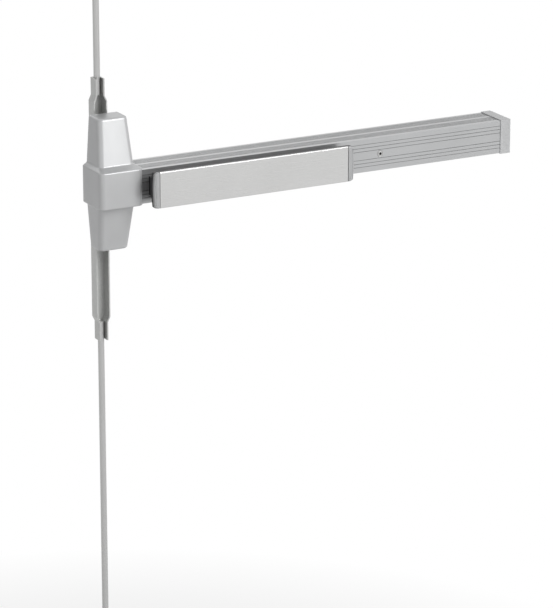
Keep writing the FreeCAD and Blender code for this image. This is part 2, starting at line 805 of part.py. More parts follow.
def pad_face():
    """Thin metal face with its top and bottom edges folded back."""
    half = pad_height / 2.0
    back = pad_front_y + pad_face_thick
    fold = pad_front_y + pad_face_return
    outline = [(pad_front_y, half), (fold, half), (fold, half - pad_face_thick), (back, half - pad_face_thick),
               (back, -half + pad_face_thick), (fold, -half + pad_face_thick), (fold, -half), (pad_front_y, -half)]
    face = prism_x(outline, pad_start_x + pad_cap_length, pad_end_x - pad_cap_length)
    corners = [e for e in face.Edges if abs(e.CenterOfMass.y - pad_front_y) < 0.01
               and abs(abs(e.CenterOfMass.z) - half) < 0.01]
    return face.makeFillet(1.2, corners)


def pad_liner():
    """Black moulded carrier: a full-height tray behind the face and a neck that enters the case."""
    half = pad_height / 2.0
    face_back = pad_front_y + pad_face_thick
    fold = pad_front_y + pad_face_return
    cap_back = pad_front_y - pad_cap_proud + pad_cap_thick
    x0 = pad_start_x + pad_cap_length
    x1 = pad_end_x - pad_cap_length
    body = block(x0, x1, fold, pad_rear_y, -half + 0.2, half - 0.2)
    inside = block(x0, x1, face_back, fold, -half + pad_face_thick, half - pad_face_thick)
    shapes = [body, inside]
    for inner_x, outer_x in ((x0, pad_start_x), (x1, pad_end_x)):
        outline = pad_cap_outline(inner_x, outer_x, half, 0.2)
        outline.translate(V(0, cap_back, 0))
        shapes.append(Part.Face(outline).extrude(V(0, pad_rear_y - cap_back, 0)))
    neck_x0 = pad_start_x + neck_inset
    neck_x1 = pad_end_x - neck_inset
    outer = slot_half - fit_clear
    neck_end = -bar_depth + neck_depth_in_slot
    shapes.append(block(neck_x0, neck_x1, pad_rear_y, neck_end, -outer, outer))
    liner = join(shapes)
    hollow = block(neck_x0 + neck_wall, neck_x1 - neck_wall, yoke_seat_y, neck_end,
                   -outer + neck_wall, outer - neck_wall)
    return less(liner, [hollow])


def pad_bracket(x):
    """Folded yoke that ties the pad to one crank."""
    pad_x, pad_y, _, _ = crank_pins_at_rest(x)
    reach = crank_pad_radius * (1.0 - math.cos(half_swing)) / 2.0
    middle = x - crank_pad_radius * (1.0 + math.cos(half_swing)) / 2.0
    outer = cheek_inner + cheek_thick
    seat = yoke_seat_y
    base = block(middle - yoke_base_half, middle + yoke_base_half, seat, seat + cheek_thick, -outer, outer)
    cheek = [(middle - 12.0, seat), (middle + 12.0, seat), (middle + 8.0, pad_y), (middle + 5.0, pad_y + 5.5),
             (middle - 5.0, pad_y + 5.5), (middle - 8.0, pad_y)]
    shapes = [base, prism_z(cheek, cheek_inner, outer), prism_z(cheek, -outer, -cheek_inner)]
    cuts = [slot_in_z(middle, pad_y, crank_pin_radius + slot_clear, reach + slot_end_clear, False, -outer, outer)]
    for side in (1, -1):
        cuts.append(cyl_y(yoke_screw_radius, seat, seat + cheek_thick, middle + side * yoke_screw_offset, 0))
    return less(join(shapes), cuts)


def pad_bracket_screws():
    """Screws from inside the neck through each yoke into the liner."""
    head_back = yoke_seat_y + cheek_thick
    screws = []
    for x in crank_x.values():
        middle = x - crank_pad_radius * (1.0 + math.cos(half_swing)) / 2.0
        for side in (1, -1):
            at = middle + side * yoke_screw_offset
            screws.append(join([cyl_y(yoke_screw_radius, yoke_seat_y, head_back, at, 0),
                                cyl_y(yoke_screw_head_radius, head_back, head_back + 1.6, at, 0)]))
    return Part.makeCompound(screws)


def end_bracket():
    """Joggled steel bracket that clamps the far end of the case to the door."""
    thick = bar_back_wall
    start = bar_end_x - end_bracket_overlap
    tongue = block(start, bar_end_x + 0.3 + thick, -2 * thick, -thick, -end_bracket_half, end_bracket_half)
    riser = block(bar_end_x + 0.3, bar_end_x + 0.3 + thick, -2 * thick, 0, -end_bracket_half, end_bracket_half)
    foot = block(bar_end_x + 0.3, cap_end_x - cap_wall - 0.3, -thick, 0, -end_bracket_half, end_bracket_half)
    lug = block(cap_end_x - cap_wall - 3.3, cap_end_x - cap_wall - 0.3, cap_screw_y - cap_screw_lug, 0,
                -cap_screw_lug, cap_screw_lug)
    holes = [cyl_y(mount_hole_radius, -2 * thick, 0, end_hole_x(), side * end_hole_spacing / 2.0)
             for side in (1, -1)]
    holes.append(cyl_x(cap_screw_radius, cap_end_x - cap_wall - 4.0, cap_end_x, cap_screw_y, 0))
    return less(join([tongue, riser, foot, lug]), holes)


def end_hole_x():
    return bar_end_x + 0.3 + bar_back_wall + 5.0


def end_cap():
    """Cast cap over the far end, open to the door and to the case."""
    half = half_bar + cap_proud
    front = -bar_depth - cap_proud
    outer = block(bar_end_x, cap_end_x, front, 0, -half, half)
    rims = [e for e in outer.Edges if abs(e.CenterOfMass.x - cap_end_x) < 0.01 and e.CenterOfMass.y < -0.1]
    outer = outer.makeFillet(cap_corner, rims)
    inner = block(bar_end_x, cap_end_x - cap_wall, front + cap_wall, 0, -half + cap_wall, half - cap_wall)
    cap = less(outer, [inner])
    tongue_outer = half_bar - bar_wall - 0.2
    shapes = [cap]
    for side in (1, -1):
        low = min(side * tongue_outer, side * (tongue_outer - cap_tongue_thick))
        shapes.append(block(bar_end_x - cap_tongue_length, cap_end_x - cap_wall, *cap_tongue_y,
                            low, low + cap_tongue_thick))
        web_low = min(side * tongue_outer, side * (half - cap_wall))
        shapes.append(block(bar_end_x + 1.0, cap_end_x - cap_wall, *cap_tongue_y,
                            web_low, web_low + abs(half - cap_wall - tongue_outer)))
    return less(join(shapes), [cyl_x(cap_screw_radius + 0.2, cap_end_x - cap_wall, cap_end_x, cap_screw_y, 0)])


def end_cap_screw():
    head_end = cap_end_x + 1.8
    shank = cyl_x(cap_screw_radius, cap_end_x - cap_wall - 4.0, cap_end_x, cap_screw_y, 0)
    head = cyl_x(2.0 * cap_screw_radius, cap_end_x, head_end, cap_screw_y, 0)
    socket = prism_x([(cap_screw_y + y, z) for y, z in hexagon(socket_flats, 0.0)], cap_end_x + 0.6, head_end)
    return less(join([shank, head]), [socket])


def channel(half_outer, z0, z1):
    """Upright channel of the rod carrier, open to the front."""
    outer = block(-half_outer, half_outer, carrier_front_y, carrier_back_y, z0, z1)
    return less(outer, [block(-half_outer + carrier_wall, half_outer - carrier_wall,
                              carrier_front_y, carrier_back_y - carrier_wall, z0, z1)])


def rod_carrier(wide_end, taper, far):
    """Pressed channel that narrows to grip the rod; drawn for the upper rod."""
    wide = channel(carrier_half_width, carrier_near_z, wide_end)
    neck = channel(neck_half_width, wide_end + taper, far)
    low = carrier_half_width
    high = neck_half_width
    outer = [(-low, wide_end), (low, wide_end), (high, wide_end + taper), (-high, wide_end + taper)]
    inner = [(-low + carrier_wall, wide_end), (low - carrier_wall, wide_end),
             (high - carrier_wall, wide_end + taper), (-high + carrier_wall, wide_end + taper)]
    shoulder = less(prism_y(outer, carrier_front_y, carrier_back_y),
                    [prism_y(inner, carrier_front_y, carrier_back_y - carrier_wall)])
    cuts = [cyl_y(stud_radius, carrier_back_y - carrier_wall, carrier_back_y, 0, stud_z)]
    for z in carrier_screw_places(wide_end, taper, far):
        cuts.append(cyl_y(screw_radius, carrier_back_y - carrier_wall, carrier_back_y, 0, z))
    return less(join([wide, shoulder, neck]), cuts)


def carrier_screw_places(wide_end, taper, far):
    near, away = rod_screw_inset
    return (wide_end + taper + near, far - away)


def drive_stud():
    """Shouldered stud from the rod carrier through the door face into the slide."""
    web_front = carrier_back_y - carrier_wall
    return join([cyl_y(stud_radius, stud_head_back_y, carrier_back_y + stud_nut_height + stud_end_proud, 0, stud_z),
                 cyl_y(stud_head_radius, stud_head_front_y, stud_head_back_y, 0, stud_z),
                 cyl_y(stud_shoulder_radius, stud_shoulder_gap, web_front, 0, stud_z)])


def carrier_hardware(wide_end, taper, far):
    """Nut on the drive stud and the two screws that hold the rod."""
    nut_back = carrier_back_y + stud_nut_height
    nut = prism_y([(x, stud_z + z) for x, z in hexagon(stud_nut_flats, 0.0)], carrier_back_y, nut_back)
    pieces = [less(nut, [cyl_y(stud_radius, carrier_back_y, nut_back, 0, stud_z)])]
    for z in carrier_screw_places(wide_end, taper, far):
        pieces.append(join([cyl_y(screw_radius, rod_y + rod_screw_bite, carrier_back_y, 0, z),
                            cyl_y(screw_head_radius, carrier_back_y, carrier_back_y + screw_head_height, 0, z)]))
    return Part.makeCompound(pieces)


def rod(wide_end, taper, far, top_z):
    start = wide_end + taper
    bar = cyl_z(rod_radius, start, top_z, 0, rod_y)
    return less(bar, [cyl_y(screw_radius, rod_y + rod_screw_bite, rod_y + rod_radius, 0, z)
                      for z in carrier_screw_places(wide_end, taper, far)])


def upper_rod():
    return rod(upper_wide_end_z, upper_taper, upper_far_z, connector_z()[0] + connector_rod_grip)


def connector_z():
    """Lower and upper end of the block that joins the upper rod to the top bolt."""
    top = leaf_top_z - connector_drop
    return top - connector_height, top


def top_rod_connector():
    low, high = connector_z()
    half = connector_width / 2.0
    body = block(-half, half, rod_y - half, rod_y + half, low, high)
    upright = [e for e in body.Edges if abs(e.CenterOfMass.z - (low + high) / 2.0) < 0.01]
    body = body.makeFillet(1.0, upright)
    meeting = low + connector_rod_grip
    return less(body, [cyl_z(rod_radius, low, meeting, 0, rod_y), cyl_z(stem_radius, meeting, high, 0, rod_y)])


def top_bolt():
    """Roof-shaped bolt with its stop flange and threaded stem."""
    half = bolt_size / 2.0
    top = leaf_top_z + bolt_proud
    flange_low = leaf_top_z - latch_wall - 1.5 - bolt_flange_thick
    shank = block(-half, half, rod_y - half, rod_y + half, flange_low, leaf_top_z + 1.0)
    ridge_half = 1.2
    low = [V(-half, rod_y - half, leaf_top_z + 1.0), V(half, rod_y - half, leaf_top_z + 1.0),
           V(half, rod_y + half, leaf_top_z + 1.0), V(-half, rod_y + half, leaf_top_z + 1.0)]
    high = [V(-half, rod_y - ridge_half, top), V(half - bolt_end_slope, rod_y - ridge_half, top),
            V(half - bolt_end_slope, rod_y + ridge_half, top), V(-half, rod_y + ridge_half, top)]
    roof = Part.makeLoft([Part.makePolygon(low + [low[0]]), Part.makePolygon(high + [high[0]])], True, True)
    flange_half = top_housing_half - latch_wall - 0.4
    housing_back = top_housing_y()[1]
    flange = block(-flange_half, flange_half, rod_y - half - 0.8, housing_back - latch_wall - 0.4,
                   flange_low, flange_low + bolt_flange_thick)
    low_z, _ = connector_z()
    stem = cyl_z(stem_radius, low_z + connector_rod_grip, flange_low, 0, rod_y)
    return join([shank, roof, flange, stem])


def top_housing_y():
    """Front and back of the top latch housing."""
    front = rod_y - top_housing_depth / 2.0
    return front, front + top_housing_depth


def latch_channel(half, y_front, y_back, z0, z1):
    outer = block(-half, half, y_front, y_back, z0, z1)
    return less(outer, [block(-half + latch_wall, half - latch_wall, y_front, y_back - latch_wall, z0, z1)])


def top_latch_housing():
    front, back = top_housing_y()
    top = leaf_top_z - latch_wall
    housing = latch_channel(top_housing_half, front, back, top - top_housing_height, top)
    holes = [cyl_x(rivet_radius, -top_housing_half, -top_housing_half + latch_wall,
                   back - guide_stud_inset, leaf_top_z - guide_stud_drop)]
    for z in rivet_heights():
        holes.append(cyl_x(rivet_radius, top_housing_half - latch_wall, top_housing_half, rod_y, z))
    return less(housing, holes)


def rivet_heights():
    """Heights of the rivets between the top housing and its angle bracket."""
    return [leaf_top_z - drop for drop in rivet_drops]


def top_latch_bracket():
    """Angle bracket over the housing, with the bolt hole and the tab that is screwed to the door top."""
    front, back = top_housing_y()
    low = leaf_top_z - latch_wall
    end_x = top_housing_half + latch_wall + top_tab_length
    top = block(-top_housing_half, end_x, front, back, low, leaf_top_z)
    leg = block(top_housing_half, top_housing_half + latch_wall, front, back, low - top_leg_height, low)
    half = bolt_size / 2.0 + bolt_clear
    cuts = [block(-half, half, rod_y - half, rod_y + half, low, leaf_top_z)]
    for x in top_tab_holes():
        cuts.append(cyl_z(mount_hole_radius, low, leaf_top_z, x, rod_y))
    for z in rivet_heights():
        cuts.append(cyl_x(rivet_radius, top_housing_half, top_housing_half + latch_wall, rod_y, z))
    return less(join([top, leg]), cuts)


def top_tab_holes():
    return [top_housing_half + latch_wall + place for place in top_tab_hole_places]


def top_latch_rivets():
    """Two rivets through the right wall and a stud head on the left wall."""
    pieces = []
    inner = top_housing_half - latch_wall
    outer = top_housing_half + latch_wall
    for z in rivet_heights():
        pieces.append(join([cyl_x(rivet_radius, inner, outer, rod_y, z),
                            cyl_x(rivet_head_radius, outer, outer + rivet_head_height, rod_y, z)]))
    y = top_housing_y()[1] - guide_stud_inset
    z = leaf_top_z - guide_stud_drop
    pieces.append(join([cyl_x(guide_stud_head_radius, -top_housing_half - 1.0, -top_housing_half, y, z),
                        cyl_x(rivet_radius, -top_housing_half, -inner, y, z)]))
    return Part.makeCompound(pieces)


def bottom_housing_y():
    front = rod_y - bottom_housing_depth / 2.0
    return front, front + bottom_housing_depth


def bottom_latch_housing():
    """Channel over the bottom bolt, with a hooked notch in its rear left edge."""
    front, back = bottom_housing_y()
    low = leaf_bottom_z + latch_wall
    top = low + bottom_housing_height
    housing = latch_channel(bottom_housing_half, front, back, low, top)
    notch_top = top - notch_drop
    notch_low = notch_top - notch_length
    deep = back - notch_depth
    notch = [(back + 1.0, notch_top), (deep, notch_top - 6.0), (deep, notch_low),
             (deep + notch_hook, notch_low - notch_hook), (back + 1.0, notch_low)]
    cuts = [prism_x(notch, -bottom_housing_half, -bottom_housing_half + latch_wall + 1.0)]
    cuts.append(cyl_x(cross_pin_radius, -bottom_housing_half, bottom_housing_half, cross_pin_y(), cross_pin_z()))
    return less(housing, cuts)


def cross_pin_y():
    return bottom_housing_y()[0] + cross_pin_inset


def cross_pin_z():
    return leaf_bottom_z + latch_wall + cross_pin_rise


def bottom_cross_pin():
    reach = bottom_housing_half + cross_pin_proud
    return cyl_x(cross_pin_radius, -reach, reach, cross_pin_y(), cross_pin_z())


def bottom_foot_plate():
    front, back = bottom_housing_y()
    end_x = bottom_housing_half + foot_tab_length
    plate = block(-bottom_housing_half, end_x, front, back, leaf_bottom_z, leaf_bottom_z + latch_wall)
    cuts = [cyl_z(bottom_bolt_radius + bolt_clear, leaf_bottom_z, leaf_bottom_z + latch_wall, 0, rod_y)]
    for x, y in foot_tab_holes():
        cuts.append(cyl_z(mount_hole_radius, leaf_bottom_z, leaf_bottom_z + latch_wall, x, y))
    return less(plate, cuts)


def foot_tab_holes():
    """Two screw holes set on a diagonal of the tab."""
    return [(bottom_housing_half + along, rod_y + across) for along, across in foot_tab_hole_places]


def coupling_z():
    """Lower and upper end of the hexagonal coupling over the bottom bolt."""
    low = leaf_bottom_z + latch_wall + coupling_rise
    return low, low + coupling_height


def bottom_rod_coupling():
    low, high = coupling_z()
    nut = prism_z([(x, rod_y + y) for x, y in hexagon(coupling_flats, 0.0)], low, high)
    return less(nut, [cyl_z(rod_radius, low, high, 0, rod_y)])


def lower_rod():
    low, high = coupling_z()
    bar = rod(lower_wide_end_z, lower_taper, lower_far_z, -(low + high) / 2.0)
    return mirrored_z(bar)


def bottom_bolt():
    """Round bolt with a bevelled nose and a threaded top."""
    low, high = coupling_z()
    nose_z = leaf_bottom_z - bottom_bolt_proud
    body = cyl_z(bottom_bolt_radius, nose_z, low, 0, rod_y)
    nose = [e for e in body.Edges if abs(e.CenterOfMass.z - nose_z) < 0.01 and len(e.Vertexes) == 1]
    body = body.makeChamfer(bottom_bolt_bevel, nose)
    return join([body, cyl_z(rod_radius, low, (low + high) / 2.0, 0, rod_y)])


def dogging_bracket():
    """Folded bracket that carries the dogging shaft above the drawbar."""
    base_front = -bar_back_wall - crank_base_thick
    leg_x = dogging_x + dogging_leg_offset
    leg_end_x = leg_x + dogging_sheet
    shelf_y = dogging_shelf_y()
    shelf_front = shelf_y - dogging_sheet
    half = dogging_bracket_half
    base = block(leg_x, leg_x + 16.0, base_front, -bar_back_wall, -half, half)
    leg = block(leg_x, leg_end_x, shelf_front, -bar_back_wall, -half, half)
    shelf = block(dogging_x - 8.0, leg_end_x, shelf_front, shelf_y, -half, half)
    cuts = [cyl_y(dogging_shaft_radius + running_clear, shelf_front - 1.0, shelf_y + 1.0, dogging_x, 0)]
    for side in (-1, 1):
        cuts.append(cyl_y(screw_radius, base_front, -bar_back_wall,
                          dogging_x + dogging_screw_offset, side * dogging_screw_half))
    return less(join([base, leg, shelf]), cuts)


def dogging_shelf_y():
    """Back face of the shelf, clear of the drawbar's tooth and the cam."""
    return draw_front_y - dogging_shelf_gap


def dogging_shaft():
    """Key-turned shaft with a ringed head, a stop collar and a cam lobe."""
    head_front = -bar_depth - 0.4
    head_back = head_front + dogging_head_length
    lobe_front = draw_front_y - 8.0
    lobe_back = draw_front_y - 0.6
    shelf_front = dogging_shelf_y() - dogging_sheet
    x = dogging_x
    lobe = block(x - dogging_lobe_radius, x, lobe_front, lobe_back, -dogging_lobe_half, dogging_lobe_half)
    lobe = lobe.common(cyl_y(dogging_lobe_radius, lobe_front, lobe_back, x, 0))
    shaft = join([cyl_y(dogging_head_radius, head_front, head_back, x, 0),
                  cyl_y(dogging_shaft_radius, head_back, lobe_back, x, 0),
                  cyl_y(dogging_shaft_radius + 1.6, shelf_front - 2.2, shelf_front - 0.2, x, 0),
                  lobe])
    ring = cyl_y(dogging_head_radius - 0.9, head_front, head_front + 0.5, x, 0)
    ring = ring.cut(cyl_y(dogging_head_radius - 1.7, head_front, head_front + 0.5, x, 0))
    socket = prism_y([(x + px, pz) for px, pz in hexagon(dogging_key_flats, 0.0)], head_front, head_front + 4.0)
    return less(shaft, [ring, socket])


def all_pieces():
    upper = (upper_wide_end_z, upper_taper, upper_far_z)
    lower = (lower_wide_end_z, lower_taper, lower_far_z)
    pieces = {
        "centre_baseplate": centre_baseplate(),
        "centre_cover": centre_cover(),
        "cover_screws": cover_screws(),
        "mechanism_case": mechanism_case(),
        "filler_plate_left": filler_plate_left(),
        "filler_plate_right": filler_plate_right(),
        "end_bracket": end_bracket(),
        "end_cap": end_cap(),
        "end_cap_screw": end_cap_screw(),
        "bracket_screws": bracket_screws(),
        "crank_pivot_pins": crank_pivot_pins(),
        "lever_pivot_studs": lever_pivot_studs(),
        "slide_guides": slide_guides(),
        "spring_anchor": spring_anchor(),
        "upper_lift_spring": lift_spring(),
        "lower_lift_spring": mirrored_z(lift_spring()),
        "dogging_bracket": dogging_bracket(),
        "dogging_shaft": dogging_shaft(),
        "top_latch_housing": top_latch_housing(),
        "top_latch_bracket": top_latch_bracket(),
        "top_latch_rivets": top_latch_rivets(),
        "bottom_latch_housing": bottom_latch_housing(),
        "bottom_foot_plate": bottom_foot_plate(),
        "bottom_cross_pin": bottom_cross_pin(),
        "pad_face": pad_face(),
        "pad_liner": pad_liner(),
        "pad_cap_left": pad_cap(pad_start_x + pad_cap_length, pad_start_x),
        "pad_cap_right": pad_cap(pad_end_x - pad_cap_length, pad_end_x),
        "pad_bracket_screws": pad_bracket_screws(),
        "drawbar": drawbar(),
        "upper_lift_lever": lift_lever(),
        "lower_lift_lever": mirrored_z(lift_lever()),
        "upper_lever_pins": lift_lever_pins(),
        "lower_lever_pins": mirrored_z(lift_lever_pins()),
        "upper_slide": lift_slide(),
        "lower_slide": mirrored_z(lift_slide()),
        "upper_bolt_spring": bolt_spring(),
        "lower_bolt_spring": mirrored_z(bolt_spring()),
        "upper_carrier": rod_carrier(*upper),
        "lower_carrier": mirrored_z(rod_carrier(*lower)),
        "upper_drive_stud": drive_stud(),
        "lower_drive_stud": mirrored_z(drive_stud()),
        "upper_carrier_hardware": carrier_hardware(*upper),
        "lower_carrier_hardware": mirrored_z(carrier_hardware(*lower)),
        "upper_rod": upper_rod(),
        "lower_rod": lower_rod(),
        "top_rod_connector": top_rod_connector(),
        "top_bolt": top_bolt(),
        "bottom_rod_coupling": bottom_rod_coupling(),
        "bottom_bolt": bottom_bolt(),
    }
    for side, x in crank_x.items():
        pieces["bell_crank_" + side] = bell_crank(x)
        pieces["crank_pins_" + side] = crank_pins(x)
        pieces["crank_bracket_" + side] = crank_bracket(x)
        pieces["pad_bracket_" + side] = pad_bracket(x)
    return pieces


os.makedirs("parts", exist_ok=True)
for name, shape in all_pieces().items():
    shape.exportStep("parts/" + name + ".step")
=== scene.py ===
"""Looks for the vertical rod exit device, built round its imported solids.

Sizes are in metres in the solids' own frame: X runs along the bar, Y goes into the door and Z is
up.  The solids keep their shape and get their finishes here.  The cast cover, the moulded pad
ends, the coil springs and the fasteners behind the rod carriers are modelled and stand for the
plainer solids.
"""

import math

import bpy
from bpy.props import FloatProperty, FloatVectorProperty, IntProperty, PointerProperty
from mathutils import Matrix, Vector


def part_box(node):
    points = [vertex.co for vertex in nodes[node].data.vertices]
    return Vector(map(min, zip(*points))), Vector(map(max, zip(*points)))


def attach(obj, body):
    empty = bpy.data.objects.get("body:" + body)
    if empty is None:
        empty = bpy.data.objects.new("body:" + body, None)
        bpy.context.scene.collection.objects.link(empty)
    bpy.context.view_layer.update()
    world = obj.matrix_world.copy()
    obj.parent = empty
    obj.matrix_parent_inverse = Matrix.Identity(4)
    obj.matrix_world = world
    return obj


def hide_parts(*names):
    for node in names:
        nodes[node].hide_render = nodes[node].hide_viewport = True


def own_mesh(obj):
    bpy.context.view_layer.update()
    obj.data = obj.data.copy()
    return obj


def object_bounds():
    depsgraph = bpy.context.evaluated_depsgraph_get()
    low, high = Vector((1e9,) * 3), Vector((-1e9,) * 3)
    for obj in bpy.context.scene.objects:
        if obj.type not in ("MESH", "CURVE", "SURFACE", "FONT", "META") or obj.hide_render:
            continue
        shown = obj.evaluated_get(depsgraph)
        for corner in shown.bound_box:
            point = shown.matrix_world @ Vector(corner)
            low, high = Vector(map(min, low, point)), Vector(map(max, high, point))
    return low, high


bl_info = {
    "name": "Vertical rod exit device",
    "version": (1, 0, 0),
    "blender": (4, 5, 0),
    "location": "View3D > Sidebar > Exit device",
    "description": "Models and finishes the pieces of a vertical rod exit device round its solids",
    "category": "Object",
}

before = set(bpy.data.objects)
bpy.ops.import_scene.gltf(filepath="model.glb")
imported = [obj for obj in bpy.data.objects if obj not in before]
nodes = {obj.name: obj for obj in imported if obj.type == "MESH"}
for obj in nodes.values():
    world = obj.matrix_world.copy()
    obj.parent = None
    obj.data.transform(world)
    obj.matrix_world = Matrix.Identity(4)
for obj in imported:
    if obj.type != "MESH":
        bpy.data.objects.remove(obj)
solids_low, solids_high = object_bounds()


# Depth of the fine grooves along the case, as the solids have it
GROOVE_DEPTH = 0.0006
# Width of the shade along the seam between the case and its filler strips
SEAM_SHADE = 0.0004
# Share of the colour left by the shade painted into the grooves and down the key socket
GROOVE_PAINTED_SHADE = 0.42
SOCKET_PAINTED_SHADE = 0.05
# Depths behind the dogging shaft's face between which shade is painted down its socket
SOCKET_LIP = 0.0003
SOCKET_DARK = 0.0012
# How far brushed lines are drawn out: the smaller, the longer
LINE_STRETCH = 0.008

# Room round the case in the cover's opening
OPENING_FRONT = 0.0002
OPENING_EDGE = 0.0003
# Cutters for the cover screws' holes, and the radius of the heads in them
SCREW_HOLE_RADIUS = 0.0046
SCREW_HOLE_LENGTH = 0.0044
SCREW_HEAD_RADIUS = 0.004
# A cutter that goes right through is this many times as long as what it cuts
THROUGH = 3.0
# Sides of the wide cylinder that bows the pad ends
BOW_SIDES = 512

# Points closer than this are at the same place, and closer than the second become one point
NEAR = 1e-5
MERGE_BELOW = 1e-6
# A face looks along an axis when its normal has at least this much of it
FACING = 0.9
# Corners gentler than these are shaded smooth
SMOOTH_BELOW = math.radians(32.0)
COIL_SMOOTH_BELOW = math.radians(50.0)

EVEN = (1.0, 1.0, 1.0)
WHITE = (1.0, 1.0, 1.0, 1.0)


# Settings that a user would change

def colour_setting(name, description, value):
    return FloatVectorProperty(name=name, description=description, default=value,
                               subtype="COLOR", size=3, min=0.0, max=1.0)


def length_setting(name, description, value):
    return FloatProperty(name=name, description=description, default=value,
                         subtype="DISTANCE", unit="LENGTH", min=0.0)


class FinishSettings(bpy.types.PropertyGroup):
    """Colours of the finishes."""
    cover: colour_setting("Cast cover", "Satin casting", (0.56, 0.565, 0.57))
    case: colour_setting("Extruded case", "Satin anodised extrusion", (0.50, 0.505, 0.51))
    pad: colour_setting("Pad face", "Brushed metal of the pad", (0.62, 0.62, 0.615))
    pad_end: colour_setting("Pad ends", "Light grey moulding", (0.50, 0.505, 0.51))
    liner: colour_setting("Pad carrier", "Black moulding behind the pad", (0.022, 0.022, 0.024))
    sheet: colour_setting("Plated sheet", "Zinc plated sheet steel", (0.54, 0.545, 0.535))
    zinc: colour_setting("Cast cranks", "Die-cast zinc", (0.44, 0.44, 0.45))
    bright: colour_setting("Bright steel", "Screws, pins and studs", (0.58, 0.58, 0.575))
    spring: colour_setting("Spring wire", "Oiled spring wire", (0.30, 0.30, 0.31))
    rod: colour_setting("Drawn rod", "Drawn and plated steel", (0.52, 0.52, 0.515))
    bolt: colour_setting("Latch bolts", "Satin stainless steel", (0.42, 0.415, 0.405))


class CoverSettings(bpy.types.PropertyGroup):
    """Form of the cast cover."""
    wall: length_setting("Wall", "Thickness of the casting", 0.0025)
    corner: length_setting("Corner", "Rounding of the front corners", 0.008)
    rim: length_setting("Rim", "Rounding of the shoulders", 0.0018)
    crown: length_setting("Crown", "Rounding of the two ends", 0.0036)
    collar_half: length_setting("Collar", "Half height of the square collar", 0.0275)
    shoulder: length_setting("Shoulder", "Height of the sloping shoulder", 0.004)
    base_half: length_setting("Base half width", "Half width where the tapers start", 0.0285)
    base_depth: length_setting("Base depth", "Depth where the tapers start", 0.044)
    head_half: length_setting("Head half width", "Half width at the upper end", 0.024)
    head_depth: length_setting("Head depth", "Depth at the upper end", 0.032)
    tail_half: length_setting("Tail half width", "Half width at the lower end", 0.0235)
    tail_depth: length_setting("Tail depth", "Depth at the lower end", 0.030)


class PadSettings(bpy.types.PropertyGroup):
    """Form of the moulded pad ends."""
    gap: length_setting("Gap", "Gap between the metal face and its ends", 0.0009)
    corner: length_setting("Corner", "Rounding of the outer corners", 0.007)
    rim: length_setting("Rim", "Rounding of the front edge", 0.0024)
    seam: length_setting("Seam", "Rounding beside the metal face", 0.0006)
    bulge: length_setting("Bulge", "How far the outer edge bows out", 0.0015)


class SpringSettings(bpy.types.PropertyGroup):
    """Wire and turns of the coil springs."""
    lift_wire: length_setting("Lift spring wire", "Diameter of the lift springs' wire", 0.001)
    lift_turns: IntProperty(name="Lift spring turns", description="Turns of each lift spring",
                            default=7, min=2)
    bolt_wire: length_setting("Bolt spring wire", "Diameter of the bolt springs' wire", 0.0008)
    bolt_turns: IntProperty(name="Bolt spring turns", description="Turns of each bolt spring",
                            default=6, min=2)


class FastenerSettings(bpy.types.PropertyGroup):
    """Nuts and screws behind the rod carriers."""
    nut_flats: length_setting("Nut", "Width of the nut across its flats", 0.013)
    nut_bore: length_setting("Nut bore", "Radius of the nut's hole", 0.00405)
    nut_chamfer: length_setting("Nut chamfer", "Turned-down corners of the nut", 0.0012)
    head_radius: length_setting("Screw head", "Radius of the pan heads", 0.0036)
    head_height: length_setting("Head height", "Height of the pan heads", 0.0022)
    shank_radius: length_setting("Screw shank", "Radius of the screws", 0.002)
    slot: length_setting("Recess", "Width of the cross recess's arms", 0.0009)
    first_screw: length_setting("First screw", "From the rod's end to the first screw", 0.005)


class StageSettings(bpy.types.PropertyGroup):
    """Camera and studio."""
    camera_place: FloatVectorProperty(name="Camera place", description="Where the camera stands",
                                      default=(-2.048, -4.399, 1.341), size=3,
                                      subtype="TRANSLATION", unit="LENGTH")
    heading: FloatProperty(name="Heading", description="Camera's turn from +Y towards +X",
                           default=math.radians(27.93), subtype="ANGLE")
    tilt: FloatProperty(name="Tilt", description="How far the camera looks down",
                        default=math.radians(17.53), subtype="ANGLE")
    lens: FloatProperty(name="Lens", description="Focal length on a 36 mm sensor",
                        default=203.5, min=1.0)
    floor: colour_setting("Floor", "Colour of the plain floor", (0.86, 0.86, 0.86))
    key_power: FloatProperty(name="Key lamp", description="Power of the main lamp in watts",
                             default=165.0, min=0.0)
    fill_power: FloatProperty(name="Fill lamp", description="Power of the fill lamp in watts",
                              default=10.0, min=0.0)
    rear_power: FloatProperty(name="Rear lamp", description="Power of the rear lamp in watts",
                              default=20.0, min=0.0)
    sky: FloatProperty(name="Room light", description="Strength of the room's even light",
                       default=0.14, min=0.0)


# Finishes

def finish_tree(name):
    """New material with its shader and its object coordinates."""
    material = bpy.data.materials.new(name)
    material.use_nodes = True
    tree = material.node_tree
    place = tree.nodes.new("ShaderNodeTexCoord").outputs["Object"]
    return material, tree, tree.nodes["Principled BSDF"], place


def grain(tree, place, scale, detail, stretch=EVEN):
    """Noise from 0 to 1, which can be drawn out along one way."""
    mapping = tree.nodes.new("ShaderNodeMapping")
    mapping.inputs["Scale"].default_value = stretch
    noise = tree.nodes.new("ShaderNodeTexNoise")
    noise.inputs["Scale"].default_value = scale
    noise.inputs["Detail"].default_value = detail
    tree.links.new(place, mapping.inputs["Vector"])
    tree.links.new(mapping.outputs["Vector"], noise.inputs["Vector"])
    return noise.outputs["Fac"]


def spread(tree, value, low, high, start=0.3, end=0.7):
    """The value's part from start to end laid over a range from low to high."""
    ramp = tree.nodes.new("ShaderNodeMapRange")
    ramp.inputs["From Min"].default_value = start
    ramp.inputs["From Max"].default_value = end
    ramp.inputs["To Min"].default_value = low
    ramp.inputs["To Max"].default_value = high
    tree.links.new(value, ramp.inputs["Value"])
    return ramp.outputs["Result"]


def shaded(colour, share):
    return (colour[0] * share, colour[1] * share, colour[2] * share, 1.0)


